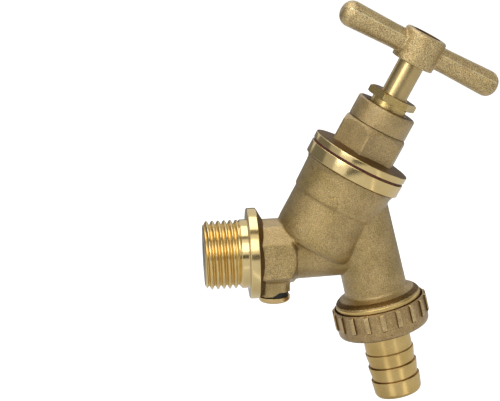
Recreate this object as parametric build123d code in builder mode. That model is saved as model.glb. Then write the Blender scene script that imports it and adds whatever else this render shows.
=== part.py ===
from build123d import *

import os
from math import cos, pi, radians, sin, tan

os.makedirs("parts", exist_ok=True)

# A brass garden tap with a T-bar handle, two check valves in its inlet, a drain screw and a hose union.
# Millimetres, +Z up. The origin is on the inlet's axis, at the shoulder that the wall fitting meets.
# +X runs away from the wall, and the tap is symmetrical about the XZ plane but for its handle's turn.
# Stations are distances along an axis, and turned outlines are lists of (radius, station) points.

# Driving dimensions: the axes

SPINDLE_LEAN = 30.0         # the spindle leans away from the wall
OUTLET_LEAN = 11.0          # the outlet leans away from the wall
SPINDLE_X = 18.9            # where the spindle's axis crosses the inlet's
OUTLET_X = 36.335           # where the outlet's axis crosses the inlet's
DRAIN_X = 7.7               # the drain screw's axis
HANDLE_TURN = 3.75          # the closed handle stands a little off the plane of symmetry

# Driving dimensions: threads

PIPE_PITCH = 1.814          # 1/2 and 3/4 inch parallel pipe threads, 14 to the inch
PIPE_DEPTH = 1.162
FLANK_ANGLE = 27.5
CREST_WIDTH = 0.32
INLET_MAJOR = 20.955 / 2
OUTLET_MAJOR = 26.441 / 2
FIT = 0.05                  # radial clearance of running fits and of plain hidden threads

# Driving dimensions: the inlet, on the inlet's axis

INLET_END = -13.4
NECK_START = -2.2
FLANGE_RADIUS = 13.85
FLANGE_THICKNESS = 2.8
BLOCK_START = 4.8           # where the inlet's cone ends on the block's top and underside
BLOCK_LEAD = 1.0            # the block's wider sides reach further up the cone
CONE_END_RADIUS = 10.2
BLOCK_END = 14.2
BLOCK_NOSE = 1.25           # the coned end is wider than it is high
BLOCK_HALF_WIDTH = 11.0
PIPE_RADIUS = 8.45
PIPE_END_RADIUS = 8.0
PIPE_END = 31.0
CARTRIDGE_RADIUS = 7.45
CARTRIDGE_LENGTH = 9.2
CARTRIDGE_STARTS = (-12.1, -2.8)
SPIGOT_RADIUS = 9.0
SPIGOT_END = 12.0
SPIGOT_BORE = 6.4
FLOW_BORE = 6.0
FLOW_END = 25.5

# Driving dimensions: the globe, seat and bonnet, on the spindle's axis

GLOBE_START = 1.6
GLOBE_RADIUS = 13.3
BAND_START = 16.6
BAND_RADIUS = 14.05
RIM_START = 27.0
RIM_END = 30.9
RIM_RADIUS = 15.4
CHAMBER_RADIUS = 11.0
CHAMBER_FLOOR = 12.5
SEAT_HEIGHT = 13.1
SEAT_BORE = 6.35
BONNET_SPIGOT = 12.1
FLANGE_START = 31.65
HEX_START = 33.6
HEX_END = 43.0
HEX_ACROSS_FLATS = 19.4
HEX_TURN = -105.5
BONNET_RADIUS = 9.4
BONNET_END = 49.8
PACKING_RADIUS = 5.7
PACKING_START = 42.8
GLAND_HEAD_START = 51.7
GLAND_HEAD_END = 54.0
GLAND_ACROSS_FLATS = 13.8
GLAND_TURN = 0.0
SPINDLE_RADIUS = 4.05
SPINDLE_THREAD = 6.0
SPINDLE_END = 20.5

# Driving dimensions: the handle, on the spindle's axis

HUB_START = 65.0
HUB_END = 74.9
HUB_RADIUS = 6.7
BAR_STATION = 69.95
BAR_REACH = 27.0
BAR_RADIUS = 3.68
BAR_END_RADIUS = 4.05
SQUARE = 5.6                # the spindle's driving square, across its flats

# Driving dimensions: the outlet and its union, on the outlet's axis

TUBE_RADIUS = 9.43
TUBE_GROWTH = 0.0135        # the cast tube's taper, in millimetres of radius a millimetre
OUTLET_BORE = 7.4
SPIGOT_FACE = 22.3
WASHER_THICKNESS = 1.4
TAIL_FLANGE_THICKNESS = 1.3
NUT_START = 17.5
NUT_END = 26.5
NUT_RADIUS = 14.15
RIB_RADIUS = 14.75
RIB_COUNT = 18
RIB_WIDTH = 1.5
RIB_TURN = 13.7
TAIL_RADIUS = 7.25
TAIL_FOOT = 7.0             # the tail's radius at the foot of a barb
TAIL_BORE = 5.2
BARB_RADIUS = 7.55
BARB_LAND = 0.6
BARB_STEPS = (33.3, 37.7, 42.2)
TAIL_END = 47.6

# Driving dimensions: the drain, on its own axis, stations downwards

BOSS_WIDTH = 9.3
BOSS_CORNER = 1.6
BOSS_END = 13.0
DRAIN_SCREW = 3.0
DRAIN_HEAD_RADIUS = 4.75
DRAIN_WASHER_RADIUS = 4.3
DRAIN_HEAD_START = 13.6
DRAIN_HEAD_END = 15.6
DRAIN_PASSAGE = 1.6


def leaning_frame(origin_x, lean, upwards):
    """A frame on the plane of symmetry, its z along an axis that leans away from the wall."""
    side = 1 if upwards else -1
    z_axis = (sin(radians(lean)), 0, side * cos(radians(lean)))
    x_axis = (cos(radians(lean)), 0, -side * sin(radians(lean)))
    return Plane(origin=(origin_x, 0, 0), x_dir=x_axis, z_dir=z_axis)


inlet = Plane(origin=(0, 0, 0), x_dir=(0, 1, 0), z_dir=(1, 0, 0))
stem = leaning_frame(SPINDLE_X, SPINDLE_LEAN, upwards=True)
outlet = leaning_frame(OUTLET_X, OUTLET_LEAN, upwards=False)
drain = leaning_frame(DRAIN_X, 0, upwards=False)


def turn(frame, outline, mode=Mode.ADD):
    """Turn a closed outline of (radius, station) points about the frame's axis."""
    half_section = Plane(origin=frame.origin, x_dir=frame.x_dir, z_dir=-frame.y_dir)
    with BuildSketch(half_section) as section:
        with BuildLine():
            Polyline(*outline, close=True)
        make_face()
    revolve(section.sketch, axis=Axis(frame.origin, frame.z_dir), mode=mode)


def ring(frame, inner, outer, start, end, mode=Mode.ADD):
    """A plain ring, or a plain disc where inner is 0."""
    turn(frame, [(inner, start), (outer, start), (outer, end), (inner, end)], mode)


def hexagon(frame, across_flats, angle, start, end):
    """A six-sided prism with one corner at an angle about the axis."""
    with BuildSketch(frame.offset(start)) as section:
        RegularPolygon(across_flats / 2, 6, major_radius=False, rotation=angle)
    extrude(section.sketch, amount=end - start)


def thread_ridge(frame, major, first, last):
    """The ridge of a right-hand pipe thread, one unbroken coil, sunk a little in its core."""
    root = major - PIPE_DEPTH
    half_crest = CREST_WIDTH / 2
    half_base = half_crest + (PIPE_DEPTH + FIT) * tan(radians(FLANK_ANGLE))
    coil = frame.offset(first).from_local_coords(
        Helix(PIPE_PITCH, last - first, root, mode=Mode.PRIVATE)
    )
    start = coil @ 0
    outwards = start - frame.offset(first).origin
    with BuildSketch(Plane(origin=start, x_dir=outwards, z_dir=coil % 0)) as section:
        with BuildLine():
            Polyline(
                (-FIT, -half_base),
                (PIPE_DEPTH, -half_crest),
                (PIPE_DEPTH, half_crest),
                (-FIT, half_base),
                close=True,
            )
        make_face()
    sweep(section.sketch, path=coil, is_frenet=True)


def filed_corner(mode):
    """The wedge that is filed off the boss's face, on the side away from the flange."""
    side_view = Plane(origin=drain.origin, x_dir=drain.x_dir, z_dir=-drain.y_dir)
    with BuildSketch(side_view) as wedge:
        with BuildLine():
            Polyline((-0.8, BOSS_END), (1.3, 11.8), (BOSS_WIDTH, 11.5), (BOSS_WIDTH, BOSS_END), close=True)
        make_face()
    extrude(wedge.sketch, amount=BOSS_WIDTH, both=True, mode=mode)


def finish(piece, name):
    """Label a finished piece and write it."""
    piece.part.label = name
    export_step(piece.part, f"parts/{name}.step")


# The casting: inlet block, pipe, globe, band and rim, outlet tube and outlet thread

OUTLET_ROOT = OUTLET_MAJOR - PIPE_DEPTH
TUBE_START = -14.5
COLLAR_START = 13.7
LAND_START = 16.3
LAND_END = 18.0

with BuildPart() as tap_body:
    # The block has flat sides under an arched top, and its far end is a flattened cone
    block_face = BLOCK_START - BLOCK_LEAD
    block_half = [
        (0, 10.2),
        (5.5, 9.3),
        (BLOCK_HALF_WIDTH, 5.05),
        (BLOCK_HALF_WIDTH, -5.8),
        (4.7, -8.6),
        (0, -9.6),
    ]
    with BuildSketch(inlet.offset(block_face)) as block_section:
        with BuildLine():
            Polyline(*block_half, *[(-side, height) for side, height in block_half[-2:0:-1]], close=True)
        make_face()
    extrude(amount=BLOCK_END - block_face)
    reach = 1.5 * BLOCK_HALF_WIDTH
    with BuildPart(mode=Mode.PRIVATE) as nose:
        turn(
            inlet,
            [
                (0, 0),
                (reach, 0),
                (reach, BLOCK_END + PIPE_RADIUS - reach),
                (PIPE_RADIUS, BLOCK_END),
                (0, BLOCK_END),
            ],
        )
    scale(nose.part, by=(1, BLOCK_NOSE, 1), mode=Mode.INTERSECT)
    turn(inlet, [(0, 14), (PIPE_RADIUS, 14), (PIPE_END_RADIUS, PIPE_END), (0, PIPE_END)])

    # The drain boss is a square casting with cut corners and a slight draft
    with BuildSketch(drain.offset(8.0)) as boss_root:
        Rectangle(BOSS_WIDTH + 0.6, BOSS_WIDTH + 0.6)
        chamfer(boss_root.vertices(), BOSS_CORNER)
    with BuildSketch(drain.offset(BOSS_END)) as boss_face:
        Rectangle(BOSS_WIDTH, BOSS_WIDTH)
        chamfer(boss_face.vertices(), BOSS_CORNER)
    loft([boss_root.sketch.face(), boss_face.sketch.face()])
    filed_corner(Mode.SUBTRACT)

    # Boss and block end at the inlet's cone
    turn(
        inlet,
        [
            (0, 0),
            (2 * FLANGE_RADIUS, 0),
            (2 * FLANGE_RADIUS, FLANGE_THICKNESS),
            (FLANGE_RADIUS, FLANGE_THICKNESS),
            (CONE_END_RADIUS, BLOCK_START),
            (0, BLOCK_START),
        ],
        mode=Mode.SUBTRACT,
    )

    # Globe, band and rim
    turn(
        stem,
        [
            (0, GLOBE_START),
            (GLOBE_RADIUS - 2.0, GLOBE_START),
            (GLOBE_RADIUS - 0.8, GLOBE_START + 0.7),
            (GLOBE_RADIUS - 0.2, GLOBE_START + 2.0),
            (GLOBE_RADIUS, GLOBE_START + 4.4),
            (GLOBE_RADIUS, BAND_START),
            (BAND_RADIUS - 0.3, BAND_START),
            (BAND_RADIUS, RIM_START - 2),
            (BAND_RADIUS + 0.25, RIM_START - 1),
            (BAND_RADIUS + 0.85, RIM_START),
            (RIM_RADIUS, RIM_START),
            (RIM_RADIUS, RIM_END),
            (0, RIM_END),
        ],
    )

    # Outlet tube with its flared collar, thread core and thread
    turn(
        outlet,
        [
            (0, TUBE_START),
            (TUBE_RADIUS + TUBE_GROWTH * TUBE_START, TUBE_START),
            (TUBE_RADIUS + TUBE_GROWTH * COLLAR_START, COLLAR_START),
            (10.6, COLLAR_START + 0.55),
            (11.8, COLLAR_START + 1.1),
            (12.6, COLLAR_START + 1.7),
            (OUTLET_MAJOR, LAND_START),
            (OUTLET_MAJOR, LAND_END),
            (OUTLET_ROOT, LAND_END + 0.8),
            (OUTLET_ROOT, SPIGOT_FACE - 0.5),
            (OUTLET_ROOT - 0.5, SPIGOT_FACE),
            (0, SPIGOT_FACE),
        ],
    )
    thread_ridge(outlet, OUTLET_MAJOR, LAND_END + 0.4, SPIGOT_FACE - 1.1)

    # Upper chamber, open at the rim, and the outlet passage
    ring(stem, 0, CHAMBER_RADIUS, CHAMBER_FLOOR, RIM_END, mode=Mode.SUBTRACT)
    ring(stem, 0, BONNET_SPIGOT + FIT, 22.2, RIM_END, mode=Mode.SUBTRACT)
    ring(outlet, 0, OUTLET_BORE, TUBE_START + 0.5, SPIGOT_FACE, mode=Mode.SUBTRACT)

    # Seat tower, with a raised seat round its bore
    ring(stem, 0, SEAT_BORE + 2.45, GLOBE_START, CHAMBER_FLOOR)
    ring(stem, 0, SEAT_BORE + 0.9, CHAMBER_FLOOR, SEAT_HEIGHT)
    ring(stem, 0, SEAT_BORE, 0, SEAT_HEIGHT, mode=Mode.SUBTRACT)

    # Inlet socket, flow bore and drain hole
    ring(inlet, 0, SPIGOT_RADIUS + FIT, BLOCK_START, SPIGOT_END + 0.3, mode=Mode.SUBTRACT)
    ring(inlet, 0, FLOW_BORE, BLOCK_START, FLOW_END, mode=Mode.SUBTRACT)
    ring(drain, 0, DRAIN_SCREW + FIT, 10.4, BOSS_END, mode=Mode.SUBTRACT)
    ring(drain, 0, DRAIN_PASSAGE, SPIGOT_RADIUS - 0.5, 10.4, mode=Mode.SUBTRACT)

finish(tap_body, "tap_body")


# The machined inlet: thread, plain neck, shoulder flange, cone, and a spigot that screws into the block

INLET_ROOT = INLET_MAJOR - PIPE_DEPTH
CARTRIDGE_BORE = CARTRIDGE_RADIUS + FIT
CARTRIDGE_STOP = CARTRIDGE_STARTS[1] + CARTRIDGE_LENGTH + 0.1
LIP_RADIUS = 8.3
LIP_DEPTH = CARTRIDGE_STARTS[0] - INLET_END
PORT_RADIUS = 0.9
PORT_GROOVE = 8.3

with BuildPart() as inlet_connector:
    turn(
        inlet,
        [
            (LIP_RADIUS, INLET_END),
            (INLET_ROOT - 0.35, INLET_END),
            (INLET_ROOT, INLET_END + 0.35),
            (INLET_ROOT, NECK_START - 1.1),
            (INLET_MAJOR, NECK_START),
            (INLET_MAJOR, 0),
            (FLANGE_RADIUS - 0.3, 0),
            (FLANGE_RADIUS, 0.3),
            (FLANGE_RADIUS, FLANGE_THICKNESS),
            (CONE_END_RADIUS, BLOCK_START),
            (SPIGOT_RADIUS, BLOCK_START),
            (SPIGOT_RADIUS, 6.4),
            (PORT_GROOVE, 6.4),
            (PORT_GROOVE, 8.8),
            (SPIGOT_RADIUS, 8.8),
            (SPIGOT_RADIUS, 9.9),
            (7.75, 9.9),
            (7.75, 11.3),
            (SPIGOT_RADIUS, 11.3),
            (SPIGOT_RADIUS, SPIGOT_END),
            (SPIGOT_BORE, SPIGOT_END),
            (SPIGOT_BORE, CARTRIDGE_STOP),
            (CARTRIDGE_BORE, CARTRIDGE_STOP),
            (CARTRIDGE_BORE, INLET_END + LIP_DEPTH),
            (LIP_RADIUS, INLET_END + LIP_DEPTH),
        ],
    )
    thread_ridge(inlet, INLET_MAJOR, INLET_END + 0.75 - PIPE_PITCH, NECK_START - 0.8)

    # The thread's first turn is trimmed by the end face and its chamfer
    turn(
        inlet,
        [
            (0, INLET_END - 2 * PIPE_PITCH),
            (INLET_MAJOR + 1, INLET_END - 2 * PIPE_PITCH),
            (INLET_MAJOR + 1, INLET_END + 1),
            (INLET_MAJOR, INLET_END + 1),
            (INLET_ROOT - 0.35, INLET_END),
            (0, INLET_END),
        ],
        mode=Mode.SUBTRACT,
    )

    # Four ports let the drain groove reach the bore
    for quarter in range(4):
        port_axis = drain.rotated((90 * quarter, 0, 0))
        port = Plane(origin=(DRAIN_X, 0, 0), x_dir=port_axis.x_dir, z_dir=port_axis.z_dir)
        ring(port, 0, PORT_RADIUS, 0, PORT_GROOVE + 0.2, mode=Mode.SUBTRACT)

finish(inlet_connector, "inlet_connector")

SEAL_SECTION = 0.6
SEAL_CENTRE = SPIGOT_RADIUS - SEAL_SECTION


def o_ring(name, frame, centre_radius, section_radius, station):
    """A round-section ring about the frame's axis."""
    with BuildPart() as seal:
        half_section = Plane(origin=frame.origin, x_dir=frame.x_dir, z_dir=-frame.y_dir)
        with BuildSketch(half_section) as section:
            with Locations((centre_radius, station)):
                Circle(section_radius)
        revolve(section.sketch, axis=Axis(frame.origin, frame.z_dir))
    finish(seal, name)


o_ring("inlet_seal", inlet, SEAL_CENTRE, SEAL_SECTION, 10.6)


# Check valve cartridges: each has a housing, a sprung poppet with its seal, and a ring in a groove

HOUSING_BORE = 6.2
VALVE_SEAT_BORE = 4.4
GUIDE_RADIUS = 2.2
POPPET_RADIUS = 5.3
POPPET_STEM = 1.1
STEM_SETBACK = 0.8          # so that an open poppet clears the next cartridge, which is 2 mm of lift
SPRING_RADIUS = 1.75
SPRING_WIRE = 0.3
SPRING_TURNS = 4
O_RING_SECTION = 0.6


def check_valve(prefix, start, has_lip):
    """One cartridge. Water enters at start, lifts the poppet off its seat and leaves past the guide."""
    seat = start + 1.4
    guide = start + CARTRIDGE_LENGTH - 1.4
    end = start + CARTRIDGE_LENGTH
    groove = start + 1.7

    with BuildPart() as housing:
        turn(
            inlet,
            [
                (VALVE_SEAT_BORE, start),
                (CARTRIDGE_RADIUS, start),
                (CARTRIDGE_RADIUS, groove),
                (CARTRIDGE_RADIUS - 1.2, groove),
                (CARTRIDGE_RADIUS - 1.2, groove + 1.4),
                (CARTRIDGE_RADIUS, groove + 1.4),
                (CARTRIDGE_RADIUS, end),
                (HOUSING_BORE - 0.4, end),
                (HOUSING_BORE - 0.4, seat),
                (VALVE_SEAT_BORE, seat),
            ],
        )
        if has_lip:
            ring(inlet, VALVE_SEAT_BORE, LIP_RADIUS - FIT, INLET_END, start)
        ring(inlet, POPPET_STEM + FIT, GUIDE_RADIUS, guide, end)
        with BuildSketch(inlet.offset(guide)) as spokes:
            with PolarLocations((HOUSING_BORE + GUIDE_RADIUS - 0.5) / 2, 3):
                Rectangle(HOUSING_BORE - GUIDE_RADIUS + 0.1, 1.2)
        extrude(spokes.sketch, amount=end - guide)
    finish(housing, f"{prefix}_housing")

    head = seat + 0.9
    with BuildPart() as poppet:
        turn(
            inlet,
            [
                (0, seat),
                (VALVE_SEAT_BORE - 0.4, seat),
                (VALVE_SEAT_BORE - 0.4, seat + 0.4),
                (POPPET_RADIUS, seat + 0.4),
                (POPPET_RADIUS, head + 0.3),
                (POPPET_STEM, head + 0.6),
                (POPPET_STEM, end - STEM_SETBACK),
                (0, end - STEM_SETBACK),
            ],
        )
    finish(poppet, f"{prefix}_poppet")

    with BuildPart() as seal:
        ring(inlet, VALVE_SEAT_BORE - 0.35, POPPET_RADIUS, seat, seat + 0.4)
    finish(seal, f"{prefix}_seal")

    coil_start = head + 0.65 + SPRING_WIRE
    coil_length = guide - SPRING_WIRE - 0.05 - coil_start
    coil = inlet.offset(coil_start).from_local_coords(
        Helix(coil_length / SPRING_TURNS, coil_length, SPRING_RADIUS, mode=Mode.PRIVATE)
    )
    with BuildPart() as spring:
        with BuildSketch(Plane(origin=coil @ 0, z_dir=coil % 0)) as wire:
            Circle(SPRING_WIRE)
        sweep(wire.sketch, path=coil, is_frenet=True)
    finish(spring, f"{prefix}_spring")

    groove_centre = CARTRIDGE_RADIUS - O_RING_SECTION + 0.02
    o_ring(f"{prefix}_o_ring", inlet, groove_centre, O_RING_SECTION, groove + 0.7)


check_valve("first_check", CARTRIDGE_STARTS[0], has_lip=True)
check_valve("second_check", CARTRIDGE_STARTS[1], has_lip=False)


# Drain screw, with a screwdriver slot, and its rubber washer

with BuildPart() as drain_screw:
    turn(
        drain,
        [
            (0, 10.6),
            (DRAIN_SCREW - 0.5, 10.6),
            (DRAIN_SCREW, 11.1),
            (DRAIN_SCREW, DRAIN_HEAD_START),
            (DRAIN_HEAD_RADIUS, DRAIN_HEAD_START),
            (DRAIN_HEAD_RADIUS, DRAIN_HEAD_END - 0.7),
            (DRAIN_HEAD_RADIUS - 0.8, DRAIN_HEAD_END),
            (0, DRAIN_HEAD_END),
        ],
    )
    with BuildSketch(drain.offset(DRAIN_HEAD_END)) as slot:
        Rectangle(3 * DRAIN_HEAD_RADIUS, 1.2)
    extrude(slot.sketch, amount=-0.8, mode=Mode.SUBTRACT)

finish(drain_screw, "drain_screw")

# The washer is pressed into the filed part of the boss as well as against its flat part
with BuildPart() as drain_screw_washer:
    filed_corner(Mode.ADD)
    ring(drain, 0, DRAIN_WASHER_RADIUS, BOSS_END - 2, BOSS_END, mode=Mode.INTERSECT)
    ring(drain, 0, DRAIN_WASHER_RADIUS, BOSS_END, DRAIN_HEAD_START)
    ring(drain, 0, DRAIN_SCREW + FIT, BOSS_END - 2, DRAIN_HEAD_START, mode=Mode.SUBTRACT)

finish(drain_screw_washer, "drain_screw_washer")


# Bonnet: spigot in the rim, flange, hexagon, cylinder, and the packing box at its top

HEX_CORNER_RADIUS = HEX_ACROSS_FLATS / 2 / cos(pi / 6)

with BuildPart() as bonnet:
    hexagon(stem, HEX_ACROSS_FLATS, HEX_TURN, HEX_START, HEX_END)
    turn(
        stem,
        [
            (0, HEX_START),
            (2 * HEX_CORNER_RADIUS, HEX_START),
            (HEX_CORNER_RADIUS, HEX_END - 2),
            (BONNET_RADIUS, HEX_END),
            (0, HEX_END),
        ],
        mode=Mode.INTERSECT,
    )
    turn(
        stem,
        [
            (0, 22.6),
            (BONNET_SPIGOT - 0.5, 22.6),
            (BONNET_SPIGOT, 23.1),
            (BONNET_SPIGOT, FLANGE_START),
            (RIM_RADIUS, FLANGE_START),
            (RIM_RADIUS, HEX_START),
            (RIM_RADIUS - 0.5, HEX_START + 0.1),
            (BONNET_RADIUS + 0.4, HEX_START + 1.1),
            (BONNET_RADIUS, HEX_START + 1.1),
            (BONNET_RADIUS, BONNET_END - 0.5),
            (BONNET_RADIUS - 0.5, BONNET_END),
            (0, BONNET_END),
        ],
    )
    turn(
        stem,
        [
            (0, 22.6),
            (10.0, 22.6),
            (10.0, 26.4),
            (SPINDLE_THREAD + FIT, 28.6),
            (SPINDLE_THREAD + FIT, 41.5),
            (SPINDLE_RADIUS + FIT, 41.5),
            (SPINDLE_RADIUS + FIT, PACKING_START),
            (PACKING_RADIUS, PACKING_START),
            (PACKING_RADIUS, BONNET_END - 0.9),
            (PACKING_RADIUS + 0.9, BONNET_END),
            (0, BONNET_END),
        ],
        mode=Mode.SUBTRACT,
    )

finish(bonnet, "bonnet")

with BuildPart() as bonnet_washer:
    ring(stem, BONNET_SPIGOT + FIT, 14.9, RIM_END, FLANGE_START)

finish(bonnet_washer, "bonnet_washer")

GLAND_CORNER_RADIUS = GLAND_ACROSS_FLATS / 2 / cos(pi / 6)
GLAND_NUT_START = 46.0
GLAND_RING_START = 45.2

with BuildPart() as gland_nut:
    hexagon(stem, GLAND_ACROSS_FLATS, GLAND_TURN, GLAND_HEAD_START, GLAND_HEAD_END)
    turn(
        stem,
        [
            (0, GLAND_HEAD_START),
            (GLAND_CORNER_RADIUS - 0.4, GLAND_HEAD_START),
            (GLAND_CORNER_RADIUS, GLAND_HEAD_START + 0.3),
            (GLAND_CORNER_RADIUS, GLAND_HEAD_END - 0.4),
            (GLAND_CORNER_RADIUS - 0.7, GLAND_HEAD_END),
            (0, GLAND_HEAD_END),
        ],
        mode=Mode.INTERSECT,
    )
    ring(stem, 0, PACKING_RADIUS - FIT, GLAND_NUT_START, GLAND_HEAD_START)
    ring(stem, 0, SPINDLE_RADIUS + FIT, GLAND_NUT_START, GLAND_HEAD_END, mode=Mode.SUBTRACT)

finish(gland_nut, "gland_nut")

with BuildPart() as gland_ring:
    ring(stem, SPINDLE_RADIUS + FIT, PACKING_RADIUS - FIT, GLAND_RING_START, GLAND_NUT_START)

finish(gland_ring, "gland_ring")

with BuildPart() as gland_packing:
    ring(stem, SPINDLE_RADIUS + FIT, PACKING_RADIUS - FIT, PACKING_START, GLAND_RING_START)

finish(gland_packing, "gland_packing")


# Spindle: threaded foot with a hole for the jumper, plain stem, and a square for the handle

JUMPER_STEM = 3.0
SCREW_SHANK = 1.9
SQUARE_START = 66.5
SPINDLE_TOP = 73.2

with BuildPart() as spindle:
    turn(
        stem,
        [
            (0, SPINDLE_END),
            (SPINDLE_THREAD - 0.6, SPINDLE_END),
            (SPINDLE_THREAD, SPINDLE_END + 0.6),
            (SPINDLE_THREAD, 34.4),
            (SPINDLE_THREAD - 0.6, 35.0),
            (SPINDLE_RADIUS, 35.0),
            (SPINDLE_RADIUS, SQUARE_START),
            (0, SQUARE_START),
        ],
    )
    with BuildSketch(stem.offset(SQUARE_START)) as square:
        Rectangle(SQUARE, SQUARE)
    extrude(square.sketch, amount=SPINDLE_TOP - SQUARE_START)
    ring(stem, 0, JUMPER_STEM + FIT, SPINDLE_END, 28.6, mode=Mode.SUBTRACT)
    ring(stem, 0, SCREW_SHANK + FIT, 65.0, SPINDLE_TOP, mode=Mode.SUBTRACT)

finish(spindle, "spindle")


# Handle: a round hub with a bar through it, swelling towards its rounded ends

RECESS_RADIUS = 4.4
RECESS_FLOOR = 73.3
BAR_END_ROUND = 3.45
bar_turn = radians(HANDLE_TURN)
bar_direction = stem.x_dir * cos(bar_turn) + stem.y_dir * sin(bar_turn)
bar = Plane(origin=stem.offset(BAR_STATION).origin, x_dir=stem.z_dir, z_dir=bar_direction)

with BuildPart() as handle:
    half_section = Plane(origin=bar.origin, x_dir=bar.x_dir, z_dir=-bar.y_dir)
    straight = BAR_REACH - BAR_END_ROUND
    shoulder = BAR_END_RADIUS - BAR_END_ROUND
    with BuildSketch(half_section) as bar_outline:
        with BuildLine():
            Line((0, -BAR_REACH), (shoulder, -BAR_REACH))
            RadiusArc((shoulder, -BAR_REACH), (BAR_END_RADIUS, -straight), -BAR_END_ROUND)
            Polyline(
                (BAR_END_RADIUS, -straight),
                (BAR_RADIUS, -10),
                (BAR_RADIUS, 10),
                (BAR_END_RADIUS, straight),
            )
            RadiusArc((BAR_END_RADIUS, straight), (shoulder, BAR_REACH), -BAR_END_ROUND)
            Line((shoulder, BAR_REACH), (0, BAR_REACH))
            Line((0, BAR_REACH), (0, -BAR_REACH))
        make_face()
    revolve(bar_outline.sketch, axis=Axis(bar.origin, bar.z_dir))
    turn(
        stem,
        [
            (0, HUB_START),
            (HUB_RADIUS - 0.4, HUB_START),
            (HUB_RADIUS, HUB_START + 0.4),
            (HUB_RADIUS, HUB_END - 0.8),
            (HUB_RADIUS - 0.25, HUB_END - 0.25),
            (HUB_RADIUS - 0.8, HUB_END),
            (0, HUB_END),
        ],
    )
    ring(stem, 0, RECESS_RADIUS, RECESS_FLOOR, HUB_END, mode=Mode.SUBTRACT)
    ring(stem, 0, SPINDLE_RADIUS + FIT, HUB_START, SQUARE_START, mode=Mode.SUBTRACT)
    with BuildSketch(stem.offset(SQUARE_START)) as socket:
        Rectangle(SQUARE + 2 * FIT, SQUARE + 2 * FIT)
    extrude(socket.sketch, amount=RECESS_FLOOR - SQUARE_START, mode=Mode.SUBTRACT)

finish(handle, "handle")

SCREW_HEAD = 4.1

with BuildPart() as handle_screw:
    turn(
        stem,
        [
            (0, 66.0),
            (SCREW_SHANK, 66.0),
            (SCREW_SHANK, RECESS_FLOOR),
            (SCREW_HEAD, RECESS_FLOOR),
            (SCREW_HEAD, RECESS_FLOOR + 0.9),
            (SCREW_HEAD - 0.5, RECESS_FLOOR + 1.3),
            (0, RECESS_FLOOR + 1.3),
        ],
    )
    with BuildSketch(stem.offset(RECESS_FLOOR + 1.3)) as slot:
        Rectangle(3 * SCREW_HEAD, 1.0, rotation=35)
    extrude(slot.sketch, amount=-0.7, mode=Mode.SUBTRACT)

finish(handle_screw, "handle_screw")


# Jumper: the valve plate under the spindle, its washer on the seat, and the nut that holds the washer

PLATE_START = 16.6
PLATE_RADIUS = 9.2
STUD_RADIUS = 2.4
STUD_START = 10.4
JUMPER_TOP = 28.0
TAP_WASHER_RADIUS = 9.0
WASHER_NUT_ACROSS_FLATS = 7.0
WASHER_NUT_START = 11.0

with BuildPart() as jumper:
    turn(
        stem,
        [
            (0, STUD_START),
            (STUD_RADIUS, STUD_START),
            (STUD_RADIUS, PLATE_START),
            (PLATE_RADIUS, PLATE_START),
            (PLATE_RADIUS, PLATE_START + 1.4),
            (PLATE_RADIUS / 2, SPINDLE_END),
            (JUMPER_STEM, SPINDLE_END),
            (JUMPER_STEM, JUMPER_TOP),
            (0, JUMPER_TOP),
        ],
    )

finish(jumper, "jumper")

with BuildPart() as tap_washer:
    ring(stem, STUD_RADIUS + FIT, TAP_WASHER_RADIUS, SEAT_HEIGHT, PLATE_START)

finish(tap_washer, "tap_washer")

with BuildPart() as washer_nut:
    hexagon(stem, WASHER_NUT_ACROSS_FLATS, 0, WASHER_NUT_START, SEAT_HEIGHT)
    ring(stem, 0, STUD_RADIUS + FIT, WASHER_NUT_START, SEAT_HEIGHT, mode=Mode.SUBTRACT)

finish(washer_nut, "washer_nut")


# Hose union: washer, barbed tail, and the ribbed nut that draws the tail up

TAIL_FLANGE = SPIGOT_FACE + WASHER_THICKNESS
LIP_START = TAIL_FLANGE + TAIL_FLANGE_THICKNESS

with BuildPart() as union_washer:
    ring(outlet, OUTLET_BORE + 0.2, 12.8, SPIGOT_FACE, TAIL_FLANGE)

finish(union_washer, "union_washer")

tail_outline = [
    (TAIL_BORE, TAIL_FLANGE),
    (12.6, TAIL_FLANGE),
    (12.6, LIP_START),
    (TAIL_RADIUS, LIP_START),
]
for step, foot in zip(BARB_STEPS, (TAIL_RADIUS, TAIL_FOOT, TAIL_FOOT)):
    tail_outline += [(foot, step), (BARB_RADIUS, step), (BARB_RADIUS, step + BARB_LAND)]
tail_outline += [
    (TAIL_RADIUS, TAIL_END - 1.0),
    (TAIL_RADIUS - 0.2, TAIL_END - 0.3),
    (TAIL_RADIUS - 0.6, TAIL_END),
    (TAIL_BORE, TAIL_END),
]

with BuildPart() as hose_tail:
    turn(outlet, tail_outline)

finish(hose_tail, "hose_tail")

NUT_BORE = OUTLET_MAJOR + 0.08
LIP_BORE = 7.9

with BuildPart() as rib_blank:
    with BuildSketch(Plane.XZ) as rib_section:
        with BuildLine():
            Polyline(
                (NUT_RADIUS - 0.4, NUT_START),
                (RIB_RADIUS, NUT_START),
                (RIB_RADIUS, NUT_START + 5.5),
                (NUT_RADIUS - 0.1, NUT_START + 6.2),
                (NUT_RADIUS - 0.4, NUT_START + 6.2),
                close=True,
            )
        make_face()
    extrude(amount=RIB_WIDTH / 2, both=True)

with BuildPart(outlet) as union_nut:
    turn(
        outlet,
        [
            (NUT_BORE + 0.45, NUT_START),
            (NUT_RADIUS, NUT_START),
            (NUT_RADIUS, NUT_END - 1.5),
            (NUT_RADIUS - 0.35, NUT_END - 0.6),
            (NUT_RADIUS - 1.1, NUT_END),
            (LIP_BORE, NUT_END),
            (LIP_BORE, LIP_START),
            (NUT_BORE, LIP_START),
            (NUT_BORE, NUT_START + 0.45),
        ],
    )
    with PolarLocations(0, RIB_COUNT, start_angle=RIB_TURN):
        add(rib_blank.part)

finish(union_nut, "union_nut")
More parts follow.
